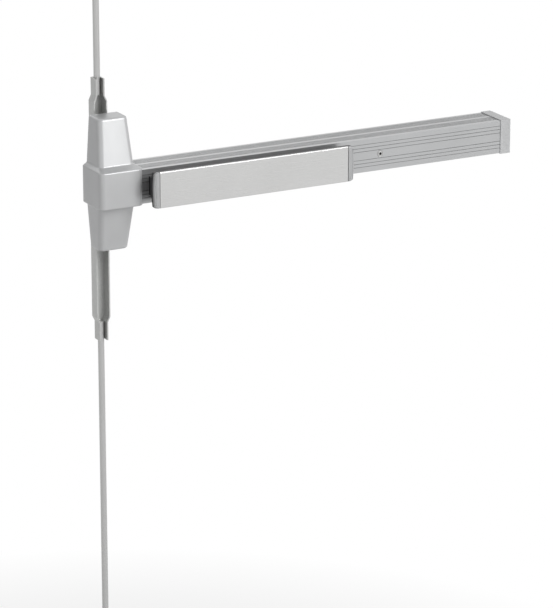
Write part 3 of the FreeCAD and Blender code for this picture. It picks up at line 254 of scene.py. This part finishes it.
def depth_mask(tree, place, limits):
    """0 on the surface and 1 below it.

    Each limit is an axis and where the depth starts and ends, on both sides of the middle.
    """
    axes = tree.nodes.new("ShaderNodeSeparateXYZ")
    tree.links.new(place, axes.inputs["Vector"])
    mask = None
    for axis, start, end in limits:
        size = tree.nodes.new("ShaderNodeMath")
        size.operation = "ABSOLUTE"
        tree.links.new(axes.outputs[axis], size.inputs[0])
        within = spread(tree, size.outputs["Value"], 0.0, 1.0, start, end)
        if mask is None:
            mask = within
            continue
        both = tree.nodes.new("ShaderNodeMath")
        both.operation = "MULTIPLY"
        tree.links.new(mask, both.inputs[0])
        tree.links.new(within, both.inputs[1])
        mask = both.outputs["Value"]
    return mask


def paint_shade(tree, shader, mask, share):
    """Paints shade into the base colour where the mask is 1."""
    source = shader.inputs["Base Color"].links[0].from_socket
    mix = tree.nodes.new("ShaderNodeMix")
    mix.data_type = "RGBA"
    mix.blend_type = "MULTIPLY"
    plain, tint = (socket for socket in mix.inputs
                   if socket.name in ("A", "B") and socket.type == "RGBA")
    tint.default_value = (share, share, share, 1.0)
    tree.links.new(source, plain)
    tree.links.new(mask, mix.inputs["Factor"])
    result = next(socket for socket in mix.outputs if socket.type == "RGBA")
    tree.links.new(result, shader.inputs["Base Color"])


def vary_colour(tree, shader, value, colour, dark):
    """Base colour that runs from a darker shade of one colour up to the colour itself."""
    dark_below, full_above = 0.32, 0.68
    ramp = tree.nodes.new("ShaderNodeValToRGB")
    ramp.color_ramp.elements[0].position = dark_below
    ramp.color_ramp.elements[0].color = shaded(colour, dark)
    ramp.color_ramp.elements[1].position = full_above
    ramp.color_ramp.elements[1].color = shaded(colour, 1.0)
    tree.links.new(value, ramp.inputs["Fac"])
    tree.links.new(ramp.outputs["Color"], shader.inputs["Base Color"])


def add_bump(tree, shader, value, height, strength):
    bump = tree.nodes.new("ShaderNodeBump")
    bump.inputs["Distance"].default_value = height
    bump.inputs["Strength"].default_value = strength
    tree.links.new(value, bump.inputs["Height"])
    tree.links.new(bump.outputs["Normal"], shader.inputs["Normal"])


def brushed(name, colour, along, rough=(0.30, 0.37), metallic=0.75, relief=0.35, grooves=()):
    """Metal with fine lines drawn along one axis, and slow cloudiness across it."""
    material, tree, shader, place = finish_tree(name)
    shader.inputs["Metallic"].default_value = metallic
    stretch = list(EVEN)
    stretch["XYZ".index(along)] = LINE_STRETCH
    fine = grain(tree, place, scale=2400.0, detail=3.0, stretch=stretch)
    cloud = grain(tree, place, scale=14.0, detail=2.0)
    vary_colour(tree, shader, cloud, colour, dark=0.97)
    # Painted shade in the grooves and along the seams, wherever a set of masks is 1
    for limits in grooves:
        paint_shade(tree, shader, depth_mask(tree, place, limits), GROOVE_PAINTED_SHADE)
    tree.links.new(spread(tree, fine, *rough), shader.inputs["Roughness"])
    add_bump(tree, shader, fine, height=0.00001, strength=relief)
    return material


def cast_metal(name, colour):
    """Tumbled casting: a fine pebbled skin with slow changes of tone."""
    material, tree, shader, place = finish_tree(name)
    shader.inputs["Metallic"].default_value = 0.35
    skin = grain(tree, place, scale=1400.0, detail=3.0)
    cloud = grain(tree, place, scale=22.0, detail=3.0, stretch=(1.0, 1.0, 0.6))
    vary_colour(tree, shader, cloud, colour, dark=0.94)
    tree.links.new(spread(tree, skin, low=0.34, high=0.46), shader.inputs["Roughness"])
    add_bump(tree, shader, skin, height=0.00005, strength=0.45)
    return material


def plated(name, colour, rough=(0.32, 0.44)):
    """Zinc plate over rolled steel: faint crystals, rolling lines and a cloudy shine."""
    material, tree, shader, place = finish_tree(name)
    shader.inputs["Metallic"].default_value = 0.5
    crystals = tree.nodes.new("ShaderNodeTexVoronoi")
    crystals.inputs["Scale"].default_value = 260.0
    tree.links.new(place, crystals.inputs["Vector"])
    tone = tree.nodes.new("ShaderNodeSeparateColor")
    tree.links.new(crystals.outputs["Color"], tone.inputs["Color"])
    vary_colour(tree, shader, tone.outputs["Red"], colour, dark=0.95)
    cloud = grain(tree, place, scale=60.0, detail=4.0, stretch=(1.0, 1.0, 0.3))
    tree.links.new(spread(tree, cloud, *rough), shader.inputs["Roughness"])
    add_bump(tree, shader, cloud, height=0.00004, strength=0.4)
    return material


def moulded(name, colour, rough):
    """Nylon moulding with a spark-eroded grain."""
    material, tree, shader, place = finish_tree(name)
    shader.inputs["Specular IOR Level"].default_value = 0.4
    skin = grain(tree, place, scale=1800.0, detail=2.0)
    cloud = grain(tree, place, scale=35.0, detail=3.0)
    vary_colour(tree, shader, cloud, colour, dark=0.93)
    tree.links.new(spread(tree, skin, *rough), shader.inputs["Roughness"])
    add_bump(tree, shader, skin, height=0.00006, strength=0.6)
    return material


def turned(name, colour, rough=(0.18, 0.32), socket=None):
    """Bright steel with the fine rings that a lathe leaves, and painted shade down its key socket.
    """
    material, tree, shader, place = finish_tree(name)
    shader.inputs["Metallic"].default_value = 0.9
    rings = grain(tree, place, scale=1500.0, detail=2.0, stretch=(1.0, 1.0, 4.0))
    vary_colour(tree, shader, rings, colour, dark=0.96)
    # Painted shade down the key socket
    if socket:
        paint_shade(tree, shader, depth_mask(tree, place, [socket]), SOCKET_PAINTED_SHADE)
    tree.links.new(spread(tree, rings, *rough), shader.inputs["Roughness"])
    add_bump(tree, shader, rings, height=0.00001, strength=0.3)
    return material


def dress(material, *names):
    """Gives one finish to solids that keep their own shape."""
    for name in names:
        slots = nodes[name].data.materials
        slots.clear()
        slots.append(material)


def seat_piece(piece, name, material, slot_name, body, *stands_for):
    """Names a modelled piece, finishes it and ties it to its body and its solids."""
    piece.name = name
    piece.data.name = name
    piece.data.materials.clear()
    piece.data.materials.append(material)
    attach(piece, body)
    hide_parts(*stands_for)


# Modelling by operator

def leave_edit():
    if bpy.context.object is not None and bpy.context.object.mode != "OBJECT":
        bpy.ops.object.mode_set(mode="OBJECT")


def clear_selection():
    leave_edit()
    bpy.ops.object.select_all(action="DESELECT")


def choose(*pieces):
    clear_selection()
    for piece in pieces:
        piece.select_set(True)
    bpy.context.view_layer.objects.active = pieces[0]


def settle(piece):
    """Puts the piece's place, turn and size into its mesh."""
    choose(piece)
    bpy.ops.object.transform_apply(location=True, rotation=True, scale=True)
    return piece


def new_block(low, high):
    """A block between two corners, to be shaped."""
    clear_selection()
    low, high = Vector(low), Vector(high)
    bpy.ops.mesh.primitive_cube_add(size=1.0, location=(low + high) / 2.0)
    piece = bpy.context.object
    piece.scale = high - low
    return settle(piece)


def new_cylinder(radius, depth, centre, along, sides=32, spin=0.0):
    """A round bar about its centre, lying along X or along Y, where it can be spun."""
    clear_selection()
    turns = {"X": (0.0, math.pi / 2.0, 0.0), "Y": (math.pi / 2.0, spin, 0.0)}
    bpy.ops.mesh.primitive_cylinder_add(vertices=sides, radius=radius, depth=depth,
                                        location=centre, rotation=turns[along])
    return settle(bpy.context.object)


def pick(piece, kind, wanted):
    """Selects the faces or edges for which wanted is true, and opens edit mode.

    A face is judged by its centre and normal, an edge by its two ends.
    """
    choose(piece)
    mesh = piece.data
    for group in (mesh.vertices, mesh.edges, mesh.polygons):
        for item in group:
            item.select = False
    if kind == "FACE":
        for face in mesh.polygons:
            face.select = wanted(face.center, face.normal)
    else:
        for edge in mesh.edges:
            start, end = (mesh.vertices[i].co for i in edge.vertices)
            edge.select = wanted(start, end)
    bpy.ops.object.mode_set(mode="EDIT")
    bpy.ops.mesh.select_mode(type=kind)


def finish_shape(piece, smooth_below=SMOOTH_BELOW):
    """Points the faces outwards and shades gentle corners smooth."""
    choose(piece)
    bpy.ops.object.mode_set(mode="EDIT")
    bpy.ops.mesh.select_all(action="SELECT")
    bpy.ops.mesh.remove_doubles(threshold=MERGE_BELOW)
    bpy.ops.mesh.normals_make_consistent(inside=False)
    bpy.ops.object.mode_set(mode="OBJECT")
    bpy.ops.object.shade_smooth_by_angle(angle=smooth_below)
    return piece


def apply_modifier(piece, kind, **values):
    choose(piece)
    bpy.ops.object.modifier_add(type=kind)
    modifier = piece.modifiers[-1]
    for key, value in values.items():
        setattr(modifier, key, value)
    bpy.ops.object.modifier_apply(modifier=modifier.name)


def carve(piece, cutters, operation="DIFFERENCE"):
    """Cuts the cutters out of the piece, or keeps what lies in them, and removes them."""
    for cutter in cutters:
        apply_modifier(piece, "BOOLEAN", operation=operation, solver="EXACT", object=cutter)
        bpy.data.objects.remove(cutter, do_unlink=True)


def copy_moved(piece, offset):
    """A copy with its own mesh, moved by an offset."""
    choose(piece)
    bpy.ops.object.duplicate(linked=False)
    copy = bpy.context.object
    copy.location = copy.location + Vector(offset)
    return settle(copy)


def copy_mirrored(piece, axis, centre, smooth_below):
    """A copy with its own mesh, mirrored along one axis about a centre."""
    copy = copy_moved(piece, (0.0, 0.0, 0.0))
    flip = list(EVEN)
    flip["XYZ".index(axis)] = -1.0
    bpy.ops.object.mode_set(mode="EDIT")
    bpy.ops.mesh.select_all(action="SELECT")
    bpy.ops.transform.resize(value=flip, center_override=centre)
    leave_edit()
    return finish_shape(copy, smooth_below)


def joined(pieces):
    choose(*pieces)
    bpy.ops.object.join()
    return bpy.context.object


# Pieces

class EXITDEVICE_OT_cover(bpy.types.Operator):
    """Model the cast centre cover with its collar, tapers and soft edges"""
    bl_idname = "exit_device.cover"
    bl_label = "Centre cover"

    def execute(self, context):
        form = context.scene.exit_cover
        colour = context.scene.exit_finishes.cover
        low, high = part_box("centre_cover")
        case_low, case_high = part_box("mechanism_case")
        cover = self.body(form, low, high, 0.0)
        carve(cover, [self.body(form, low, high, form.wall)])
        cutters = [new_block((case_low.x, case_low.y - OPENING_FRONT, case_low.z - OPENING_EDGE),
                             (high.x + form.wall, form.wall, case_high.z + OPENING_EDGE))]
        screw_low, screw_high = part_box("cover_screws")
        for side in (1, -1):
            centre = (screw_high.x, (screw_low.y + screw_high.y) / 2.0,
                      side * (screw_high.z - SCREW_HEAD_RADIUS))
            cutters.append(new_cylinder(SCREW_HOLE_RADIUS, SCREW_HOLE_LENGTH, centre, "X"))
        carve(cover, cutters)
        finish_shape(cover)
        seat_piece(cover, "cast_cover", cast_metal("cast_cover_skin", colour), "cover_metal",
                   "frame", "centre_cover")
        return {"FINISHED"}

    def body(self, form, low, high, inset):
        """Closed body of collar, shoulders and tapers: the outside, or the hollow when set in."""
        half, depth, collar = high.x - inset, -low.y - inset, form.collar_half - inset
        body = new_block((-half, -depth, -collar), (half, inset, collar))
        ends = ((1, high.z, form.head_half, form.head_depth),
                (-1, -low.z, form.tail_half, form.tail_depth))
        for side, end_z, end_half, end_depth in ends:
            z, wide, deep = collar, half, depth
            steps = ((collar + form.shoulder, form.base_half - inset, form.base_depth - inset),
                     (end_z - inset, end_half - inset, end_depth - inset))
            for next_z, next_wide, next_deep in steps:
                pick(body, "FACE",
                     lambda c, n: abs(c.z - side * z) < NEAR and abs(n.z) > FACING)
                bpy.ops.mesh.extrude_region_move(
                    TRANSFORM_OT_translate={"value": (0, 0, side * (next_z - z))})
                bpy.ops.transform.resize(value=(next_wide / wide, next_deep / deep, 1.0),
                                         center_override=(0.0, 0.0, side * next_z))
                leave_edit()
                z, wide, deep = next_z, next_wide, next_deep
        front = -form.wall
        pick(body, "EDGE", lambda a, b: max(a.y, b.y) < front and abs(a.z - b.z) > form.wall
             and a.x * b.x > 0.0)
        bpy.ops.mesh.bevel(offset=form.corner - inset, segments=6, affect="EDGES")
        roundings = (((collar, collar + form.shoulder), form.rim),
                     ((high.z - inset, -low.z - inset), form.crown - inset))
        for heights, rounding in roundings:
            pick(body, "EDGE", lambda a, b: abs(a.z - b.z) < NEAR and min(a.y, b.y) < front
                 and any(abs(abs(a.z) - z) < NEAR for z in heights))
            bpy.ops.mesh.bevel(offset=rounding, segments=5, affect="EDGES")
        return finish_shape(body)


class EXITDEVICE_OT_case(bpy.types.Operator):
    """Finish the extruded case, its filler strips and the end cap"""
    bl_idname = "exit_device.case"
    bl_label = "Case and end cap"

    def execute(self, context):
        colours = context.scene.exit_finishes
        case_low, case_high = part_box("mechanism_case")
        front_y, top_z = -case_low.y, case_high.z
        filler_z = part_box("filler_plate_right")[1].z
        behind_front = ("Y", front_y, front_y - GROOVE_DEPTH)
        at_front = ("Y", front_y - 2.0 * GROOVE_DEPTH, front_y - GROOVE_DEPTH)
        below_top = ("Z", top_z, top_z - GROOVE_DEPTH)
        above_wall = ("Z", top_z - 2.5 * GROOVE_DEPTH, top_z - 1.5 * GROOVE_DEPTH)
        opening = ("Z", filler_z + 1.5 * SEAM_SHADE, filler_z + SEAM_SHADE)
        filler_edge = ("Z", filler_z - SEAM_SHADE, filler_z)
        # Painted shade on the floors of the top grooves, and on the case's lip along the seam
        case_grooves = ([below_top, behind_front, above_wall], [opening, at_front])
        dress(brushed("anodised_case", colours.case, "X", grooves=case_grooves), "mechanism_case")
        # Painted shade on the floors of the front grooves, and along the strips' edges at the seam
        filler_grooves = ([behind_front], [filler_edge])
        dress(brushed("anodised_filler", colours.case, "X", grooves=filler_grooves),
              "filler_plate_left", "filler_plate_right")
        dress(cast_metal("cast_end_cap", colours.cover), "end_cap")
        return {"FINISHED"}


class EXITDEVICE_OT_pad(bpy.types.Operator):
    """Model the bulging pad ends and finish the metal face and the black carrier"""
    bl_idname = "exit_device.pad"
    bl_label = "Push pad"

    def execute(self, context):
        colours = context.scene.exit_finishes
        dress(brushed("brushed_pad_face", colours.pad, "X", (0.26, 0.33)), "pad_face")
        dress(moulded("black_pad_carrier", colours.liner, (0.42, 0.6)), "pad_liner")
        form = context.scene.exit_pad
        right = self.pad_end(form, *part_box("pad_cap_right"))
        face_low, face_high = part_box("pad_face")
        middle = ((face_low.x + face_high.x) / 2.0, 0.0, 0.0)
        left = copy_mirrored(right, "X", middle, SMOOTH_BELOW)
        finish = moulded("light_pad_ends", colours.pad_end, (0.36, 0.5))
        for side, piece in (("right", right), ("left", left)):
            seat_piece(piece, "pad_end_" + side, finish, "grey_moulding", "push_pad",
                       "pad_cap_" + side)
        return {"FINISHED"}

    def pad_end(self, form, low, high):
        """Moulded end: bowed outer edge, round corners and a rolled front edge."""
        inner_x = low.x + form.gap
        piece = new_block((inner_x, low.y, low.z), high)
        pick(piece, "EDGE", lambda a, b: min(a.x, b.x) > high.x - NEAR and abs(a.z - b.z) < NEAR)
        bpy.ops.mesh.bevel(offset=form.corner, segments=8, affect="EDGES")
        leave_edit()
        half_height = (high.z - low.z) / 2.0
        bow = (half_height ** 2 + form.bulge ** 2) / (2.0 * form.bulge)
        bowed = new_cylinder(bow, THROUGH * (high.y - low.y), (high.x - bow, low.y, 0.0), "Y",
                             BOW_SIDES)
        carve(piece, [bowed], "INTERSECT")
        pick(piece, "EDGE", lambda a, b: max(a.y, b.y) < low.y + NEAR
             and max(a.x, b.x) > inner_x + NEAR)
        bpy.ops.mesh.bevel(offset=form.rim, segments=5, affect="EDGES")
        pick(piece, "EDGE", lambda a, b: max(a.y, b.y) < low.y + NEAR
             and max(a.x, b.x) < inner_x + NEAR)
        bpy.ops.mesh.bevel(offset=form.seam, segments=3, affect="EDGES")
        return finish_shape(piece)


class EXITDEVICE_OT_inner_works(bpy.types.Operator):
    """Finish the plates, cranks, levers, slides and pins inside the case and the cover"""
    bl_idname = "exit_device.inner_works"
    bl_label = "Inner works"

    def execute(self, context):
        colours = context.scene.exit_finishes
        dress(plated("plated_sheet", colours.sheet), "centre_baseplate", "crank_bracket_left",
              "crank_bracket_right", "dogging_bracket", "end_bracket", "pad_bracket_left",
              "pad_bracket_right", "drawbar", "upper_lift_lever", "lower_lift_lever",
              "upper_slide", "lower_slide", "slide_guides", "spring_anchor")
        dress(cast_metal("cast_cranks", colours.zinc), "bell_crank_left", "bell_crank_right")
        dress(turned("bright_steel", colours.bright), "cover_screws", "end_cap_screw",
              "bracket_screws", "crank_pivot_pins", "lever_pivot_studs", "crank_pins_left",
              "crank_pins_right", "upper_lever_pins", "lower_lever_pins", "pad_bracket_screws",
              "upper_drive_stud", "lower_drive_stud", "top_latch_rivets", "bottom_cross_pin")
        socket_front = -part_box("dogging_shaft")[0].y
        # Shade painted down the dogging shaft's key socket
        socket = ("Y", socket_front - SOCKET_LIP, socket_front - SOCKET_DARK)
        dress(turned("dogging_steel", colours.bright, socket=socket), "dogging_shaft")
        return {"FINISHED"}


class EXITDEVICE_OT_springs(bpy.types.Operator):
    """Model the two lift springs and the two bolt springs"""
    bl_idname = "exit_device.springs"
    bl_label = "Coil springs"

    def execute(self, context):
        form = context.scene.exit_springs
        finish = turned("spring_wire", context.scene.exit_finishes.spring, (0.3, 0.42))
        lift_upper = self.coil(form.lift_wire, form.lift_turns, *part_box("upper_lift_spring"))
        bolt_upper = self.coil(form.bolt_wire, form.bolt_turns, *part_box("upper_bolt_spring"))
        lift_lower, bolt_lower = (
            copy_mirrored(spring, "Z", (0.0, 0.0, 0.0), COIL_SMOOTH_BELOW)
            for spring in (lift_upper, bolt_upper))
        for spring, node, body, joint in (
                (lift_upper, "upper_lift_spring", "frame", "upper_slide_pull"),
                (lift_lower, "lower_lift_spring", "frame", "lower_slide_pull"),
                (bolt_upper, "upper_bolt_spring", "upper_slide", "top_bolt_press"),
                (bolt_lower, "lower_bolt_spring", "lower_slide", "bottom_bolt_press")):
            seat_piece(spring, node + "_coil", finish, "spring_steel", body, node)
            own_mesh(spring)
        return {"FINISHED"}

    def coil(self, wire, turns, low, high):
        """Open coil that fills a box, wound about an upright axis from one round section."""
        radius = (high.x - low.x - wire) / 2.0
        pitch = (high.z - low.z - wire) / turns
        clear_selection()
        bpy.ops.mesh.primitive_circle_add(vertices=8, radius=wire / 2.0,
                                          location=(radius, 0.0, 0.0),
                                          rotation=(math.pi / 2.0, 0.0, 0.0))
        spring = settle(bpy.context.object)
        apply_modifier(spring, "SCREW", angle=2.0 * math.pi, screw_offset=pitch,
                       iterations=turns, steps=20, render_steps=20)
        choose(spring)
        bpy.ops.object.mode_set(mode="EDIT")
        bpy.ops.mesh.select_all(action="SELECT")
        bpy.ops.mesh.remove_doubles(threshold=MERGE_BELOW)
        bpy.ops.mesh.fill_holes(sides=0)
        leave_edit()
        spring.location = ((low.x + high.x) / 2.0, (low.y + high.y) / 2.0, low.z + wire / 2.0)
        return finish_shape(settle(spring), COIL_SMOOTH_BELOW)


class EXITDEVICE_OT_carrier_fasteners(bpy.types.Operator):
    """Model the nut and the two pan-head screws behind each rod carrier"""
    bl_idname = "exit_device.carrier_fasteners"
    bl_label = "Carrier nuts and screws"

    def execute(self, context):
        form = context.scene.exit_fasteners
        steel = bpy.data.materials["bright_steel"]
        seat_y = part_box("upper_carrier")[1].y
        screw_tips, nut_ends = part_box("upper_carrier_hardware")
        nut = self.nut(form, seat_y, nut_ends.y)
        screw = self.screw(form, screw_tips.y, seat_y)
        for side, body in (("upper_", "top_rod_train"), ("lower_", "bottom_rod_train")):
            stud_low, stud_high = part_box(side + "drive_stud")
            low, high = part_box(side + "carrier_hardware")
            rod_low, rod_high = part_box(side + "rod")
            if side == "upper_":
                first_z, last_z = rod_low.z + form.first_screw, high.z - form.head_radius
            else:
                first_z, last_z = rod_high.z - form.first_screw, low.z + form.head_radius
            pieces = [copy_moved(nut, (0.0, 0.0, (stud_low.z + stud_high.z) / 2.0))]
            pieces += [copy_moved(screw, (0.0, 0.0, z)) for z in (first_z, last_z)]
            seat_piece(joined(pieces), side + "carrier_fasteners", steel, "bright_steel", body,
                       side + "carrier_hardware")
        for pattern in (nut, screw):
            bpy.data.objects.remove(pattern, do_unlink=True)
        return {"FINISHED"}

    def nut(self, form, seat_y, end_y):
        """Hexagon nut with its outer corners turned down, round the stud's hole."""
        corner = form.nut_flats / 2.0 / math.cos(math.pi / 6.0)
        thick = end_y - seat_y
        middle = (0.0, (seat_y + end_y) / 2.0, 0.0)
        nut = new_cylinder(corner, thick, middle, "Y", sides=6, spin=math.pi / 6.0)
        turning = new_cylinder(corner, thick, middle, "Y", sides=48)
        pick(turning, "EDGE", lambda a, b: min(a.y, b.y) > end_y - NEAR)
        bpy.ops.mesh.bevel(offset=form.nut_chamfer, segments=1, affect="EDGES")
        leave_edit()
        carve(nut, [turning], "INTERSECT")
        carve(nut, [new_cylinder(form.nut_bore, THROUGH * thick, middle, "Y")])
        return finish_shape(nut)

    def screw(self, form, tip_y, seat_y):
        """Pan-head screw with a cross recess."""
        top_y = seat_y + form.head_height
        head = new_cylinder(form.head_radius, form.head_height,
                            (0.0, (seat_y + top_y) / 2.0, 0.0), "Y")
        pick(head, "EDGE", lambda a, b: min(a.y, b.y) > top_y - NEAR)
        crown = form.head_height * 0.55
        bpy.ops.mesh.bevel(offset=crown, segments=5, affect="EDGES")
        leave_edit()
        half, reach = form.slot / 2.0, form.head_radius * 0.6
        floor_y, clear_y = seat_y + form.head_height * 0.4, top_y + form.slot
        carve(head, [new_block((-half, floor_y, -reach), (half, clear_y, reach)),
                     new_block((-reach, floor_y, -half), (reach, clear_y, half))])
        finish_shape(head)
        shank = new_cylinder(form.shank_radius, seat_y - tip_y,
                             (0.0, (seat_y + tip_y) / 2.0, 0.0), "Y", sides=20)
        pick(shank, "EDGE", lambda a, b: max(a.y, b.y) < tip_y + NEAR)
        tip_chamfer = form.shank_radius * 0.3
        bpy.ops.mesh.bevel(offset=tip_chamfer, segments=1, affect="EDGES")
        return joined([head, finish_shape(shank)])


class EXITDEVICE_OT_rods(bpy.types.Operator):
    """Finish the rods, their carriers, the two latches and their bolts"""
    bl_idname = "exit_device.rods"
    bl_label = "Rods and latches"

    def execute(self, context):
        colours = context.scene.exit_finishes
        dress(plated("plated_latch", colours.sheet, (0.34, 0.44)),
              "upper_carrier", "lower_carrier", "top_latch_housing", "top_latch_bracket",
              "bottom_latch_housing", "bottom_foot_plate")
        dress(brushed("drawn_rod", colours.rod, "Z", (0.36, 0.39), metallic=0.65, relief=0.08),
              "upper_rod", "lower_rod", "top_rod_connector", "bottom_rod_coupling")
        dress(brushed("satin_bolt", colours.bolt, "Z", (0.54, 0.62), metallic=0.3),
              "top_bolt", "bottom_bolt")
        return {"FINISHED"}


# Stage

def add_lamp(name, place, target, size, power):
    """Soft square lamp that looks at a point."""
    clear_selection()
    bpy.ops.object.light_add(type="AREA", location=place)
    lamp = bpy.context.object
    lamp.name = name
    lamp.data.shape = "SQUARE"
    lamp.data.size = size
    lamp.data.energy = power
    lamp.rotation_euler = (Vector(target) - Vector(place)).to_track_quat("-Z", "Y").to_euler()
    lamp.visible_camera = False


def seen_directly(tree):
    """1 for rays from the camera, a mirror or a clear material, and 0 for light on the object."""
    path = tree.nodes.new("ShaderNodeLightPath")
    value = path.outputs["Is Camera Ray"]
    for other in ("Is Glossy Ray", "Is Transmission Ray"):
        larger = tree.nodes.new("ShaderNodeMath")
        larger.operation = "MAXIMUM"
        tree.links.new(value, larger.inputs[0])
        tree.links.new(path.outputs[other], larger.inputs[1])
        value = larger.outputs["Value"]
    return value


def build_world(sky):
    """Even room light, with a white backdrop where it is seen directly."""
    world = bpy.data.worlds.new("studio")
    world.use_nodes = True
    tree = world.node_tree
    room = tree.nodes["Background"]
    room.inputs["Color"].default_value = WHITE
    room.inputs["Strength"].default_value = sky
    backdrop = tree.nodes.new("ShaderNodeBackground")
    backdrop.inputs["Color"].default_value = WHITE
    backdrop.inputs["Strength"].default_value = 1.0
    mix = tree.nodes.new("ShaderNodeMixShader")
    tree.links.new(seen_directly(tree), mix.inputs["Fac"])
    tree.links.new(room.outputs["Background"], mix.inputs[1])
    tree.links.new(backdrop.outputs["Background"], mix.inputs[2])
    tree.links.new(mix.outputs["Shader"], tree.nodes["World Output"].inputs["Surface"])
    bpy.context.scene.world = world


def floor_finish(colour, clear_radius, white_radius):
    """Pale floor that keeps the shadow near the device and goes to white further out."""
    material, tree, shader, place = finish_tree("pale_floor")
    speckle = grain(tree, place, scale=90.0, detail=4.0)
    vary_colour(tree, shader, speckle, colour, dark=0.985)
    shader.inputs["Roughness"].default_value = 0.8
    distance = tree.nodes.new("ShaderNodeVectorMath")
    distance.operation = "LENGTH"
    tree.links.new(place, distance.inputs[0])
    far = spread(tree, distance.outputs["Value"], 0.0, 1.0, clear_radius, white_radius)
    both = tree.nodes.new("ShaderNodeMath")
    both.operation = "MULTIPLY"
    tree.links.new(far, both.inputs[0])
    tree.links.new(seen_directly(tree), both.inputs[1])
    white = tree.nodes.new("ShaderNodeEmission")
    white.inputs["Color"].default_value = WHITE
    mix = tree.nodes.new("ShaderNodeMixShader")
    tree.links.new(both.outputs["Value"], mix.inputs["Fac"])
    tree.links.new(shader.outputs["BSDF"], mix.inputs[1])
    tree.links.new(white.outputs["Emission"], mix.inputs[2])
    tree.links.new(mix.outputs["Shader"], tree.nodes["Material Output"].inputs["Surface"])
    return material


class EXITDEVICE_OT_stage(bpy.types.Operator):
    """Set the floor, the lamps, the room light and the camera"""
    bl_idname = "exit_device.stage"
    bl_label = "Stage"

    def execute(self, context):
        stage = context.scene.exit_stage
        floor_gap, floor_half = 0.0005, 9.0
        clear_selection()
        bpy.ops.mesh.primitive_plane_add(size=2.0 * floor_half,
                                         location=(0.0, 0.0, solids_low.z - floor_gap))
        floor = settle(bpy.context.object)
        floor.name = "floor"
        floor.data.materials.append(floor_finish(stage.floor, clear_radius=0.45,
                                                 white_radius=1.5))

        middle = (solids_low + solids_high) / 2.0
        for name, place, size, power in (
                ("key_lamp", (1.7, -3.9, 2.6), 2.2, stage.key_power),
                ("fill_lamp", (-3.4, -2.2, 0.8), 2.6, stage.fill_power),
                ("rear_lamp", (0.6, 3.6, 2.6), 2.4, stage.rear_power)):
            add_lamp(name, place, middle, size, power)
        build_world(stage.sky)

        clear_selection()
        bpy.ops.object.camera_add(location=stage.camera_place,
                                  rotation=(math.pi / 2.0 - stage.tilt, 0.0, -stage.heading))
        camera = bpy.context.object
        camera.name = "camera"
        camera.data.lens = stage.lens
        camera.data.sensor_width = 36.0
        context.scene.camera = camera
        context.scene.view_settings.view_transform = "Standard"
        return {"FINISHED"}


class EXITDEVICE_PT_panel(bpy.types.Panel):
    """Lists the pieces and the stage"""
    bl_idname = "EXITDEVICE_PT_panel"
    bl_label = "Exit device"
    bl_space_type = "VIEW_3D"
    bl_region_type = "UI"
    bl_category = "Exit device"

    def draw(self, context):
        scene = context.scene
        for title, group in (("Finishes", scene.exit_finishes), ("Cover", scene.exit_cover),
                             ("Pad ends", scene.exit_pad), ("Springs", scene.exit_springs),
                             ("Carrier fasteners", scene.exit_fasteners),
                             ("Stage", scene.exit_stage)):
            box = self.layout.box()
            box.label(text=title)
            for key in group.__annotations__:
                box.prop(group, key)
        for operator in OPERATORS:
            self.layout.operator(operator.bl_idname)


SETTINGS = ((FinishSettings, "exit_finishes"), (CoverSettings, "exit_cover"),
            (PadSettings, "exit_pad"), (SpringSettings, "exit_springs"),
            (FastenerSettings, "exit_fasteners"), (StageSettings, "exit_stage"))
OPERATORS = (EXITDEVICE_OT_cover, EXITDEVICE_OT_case, EXITDEVICE_OT_pad,
             EXITDEVICE_OT_inner_works, EXITDEVICE_OT_springs, EXITDEVICE_OT_carrier_fasteners,
             EXITDEVICE_OT_rods, EXITDEVICE_OT_stage)


def register():
    for group, name in SETTINGS:
        bpy.utils.register_class(group)
        setattr(bpy.types.Scene, name, PointerProperty(type=group))
    for operator in OPERATORS:
        bpy.utils.register_class(operator)
    bpy.utils.register_class(EXITDEVICE_PT_panel)


def unregister():
    bpy.utils.unregister_class(EXITDEVICE_PT_panel)
    for operator in reversed(OPERATORS):
        bpy.utils.unregister_class(operator)
    for group, name in reversed(SETTINGS):
        delattr(bpy.types.Scene, name)
        bpy.utils.unregister_class(group)


def main():
    register()
    for operator in OPERATORS:
        group, name = operator.bl_idname.split(".")
        getattr(getattr(bpy.ops, group), name)()


if __name__ == "__main__":
    main()
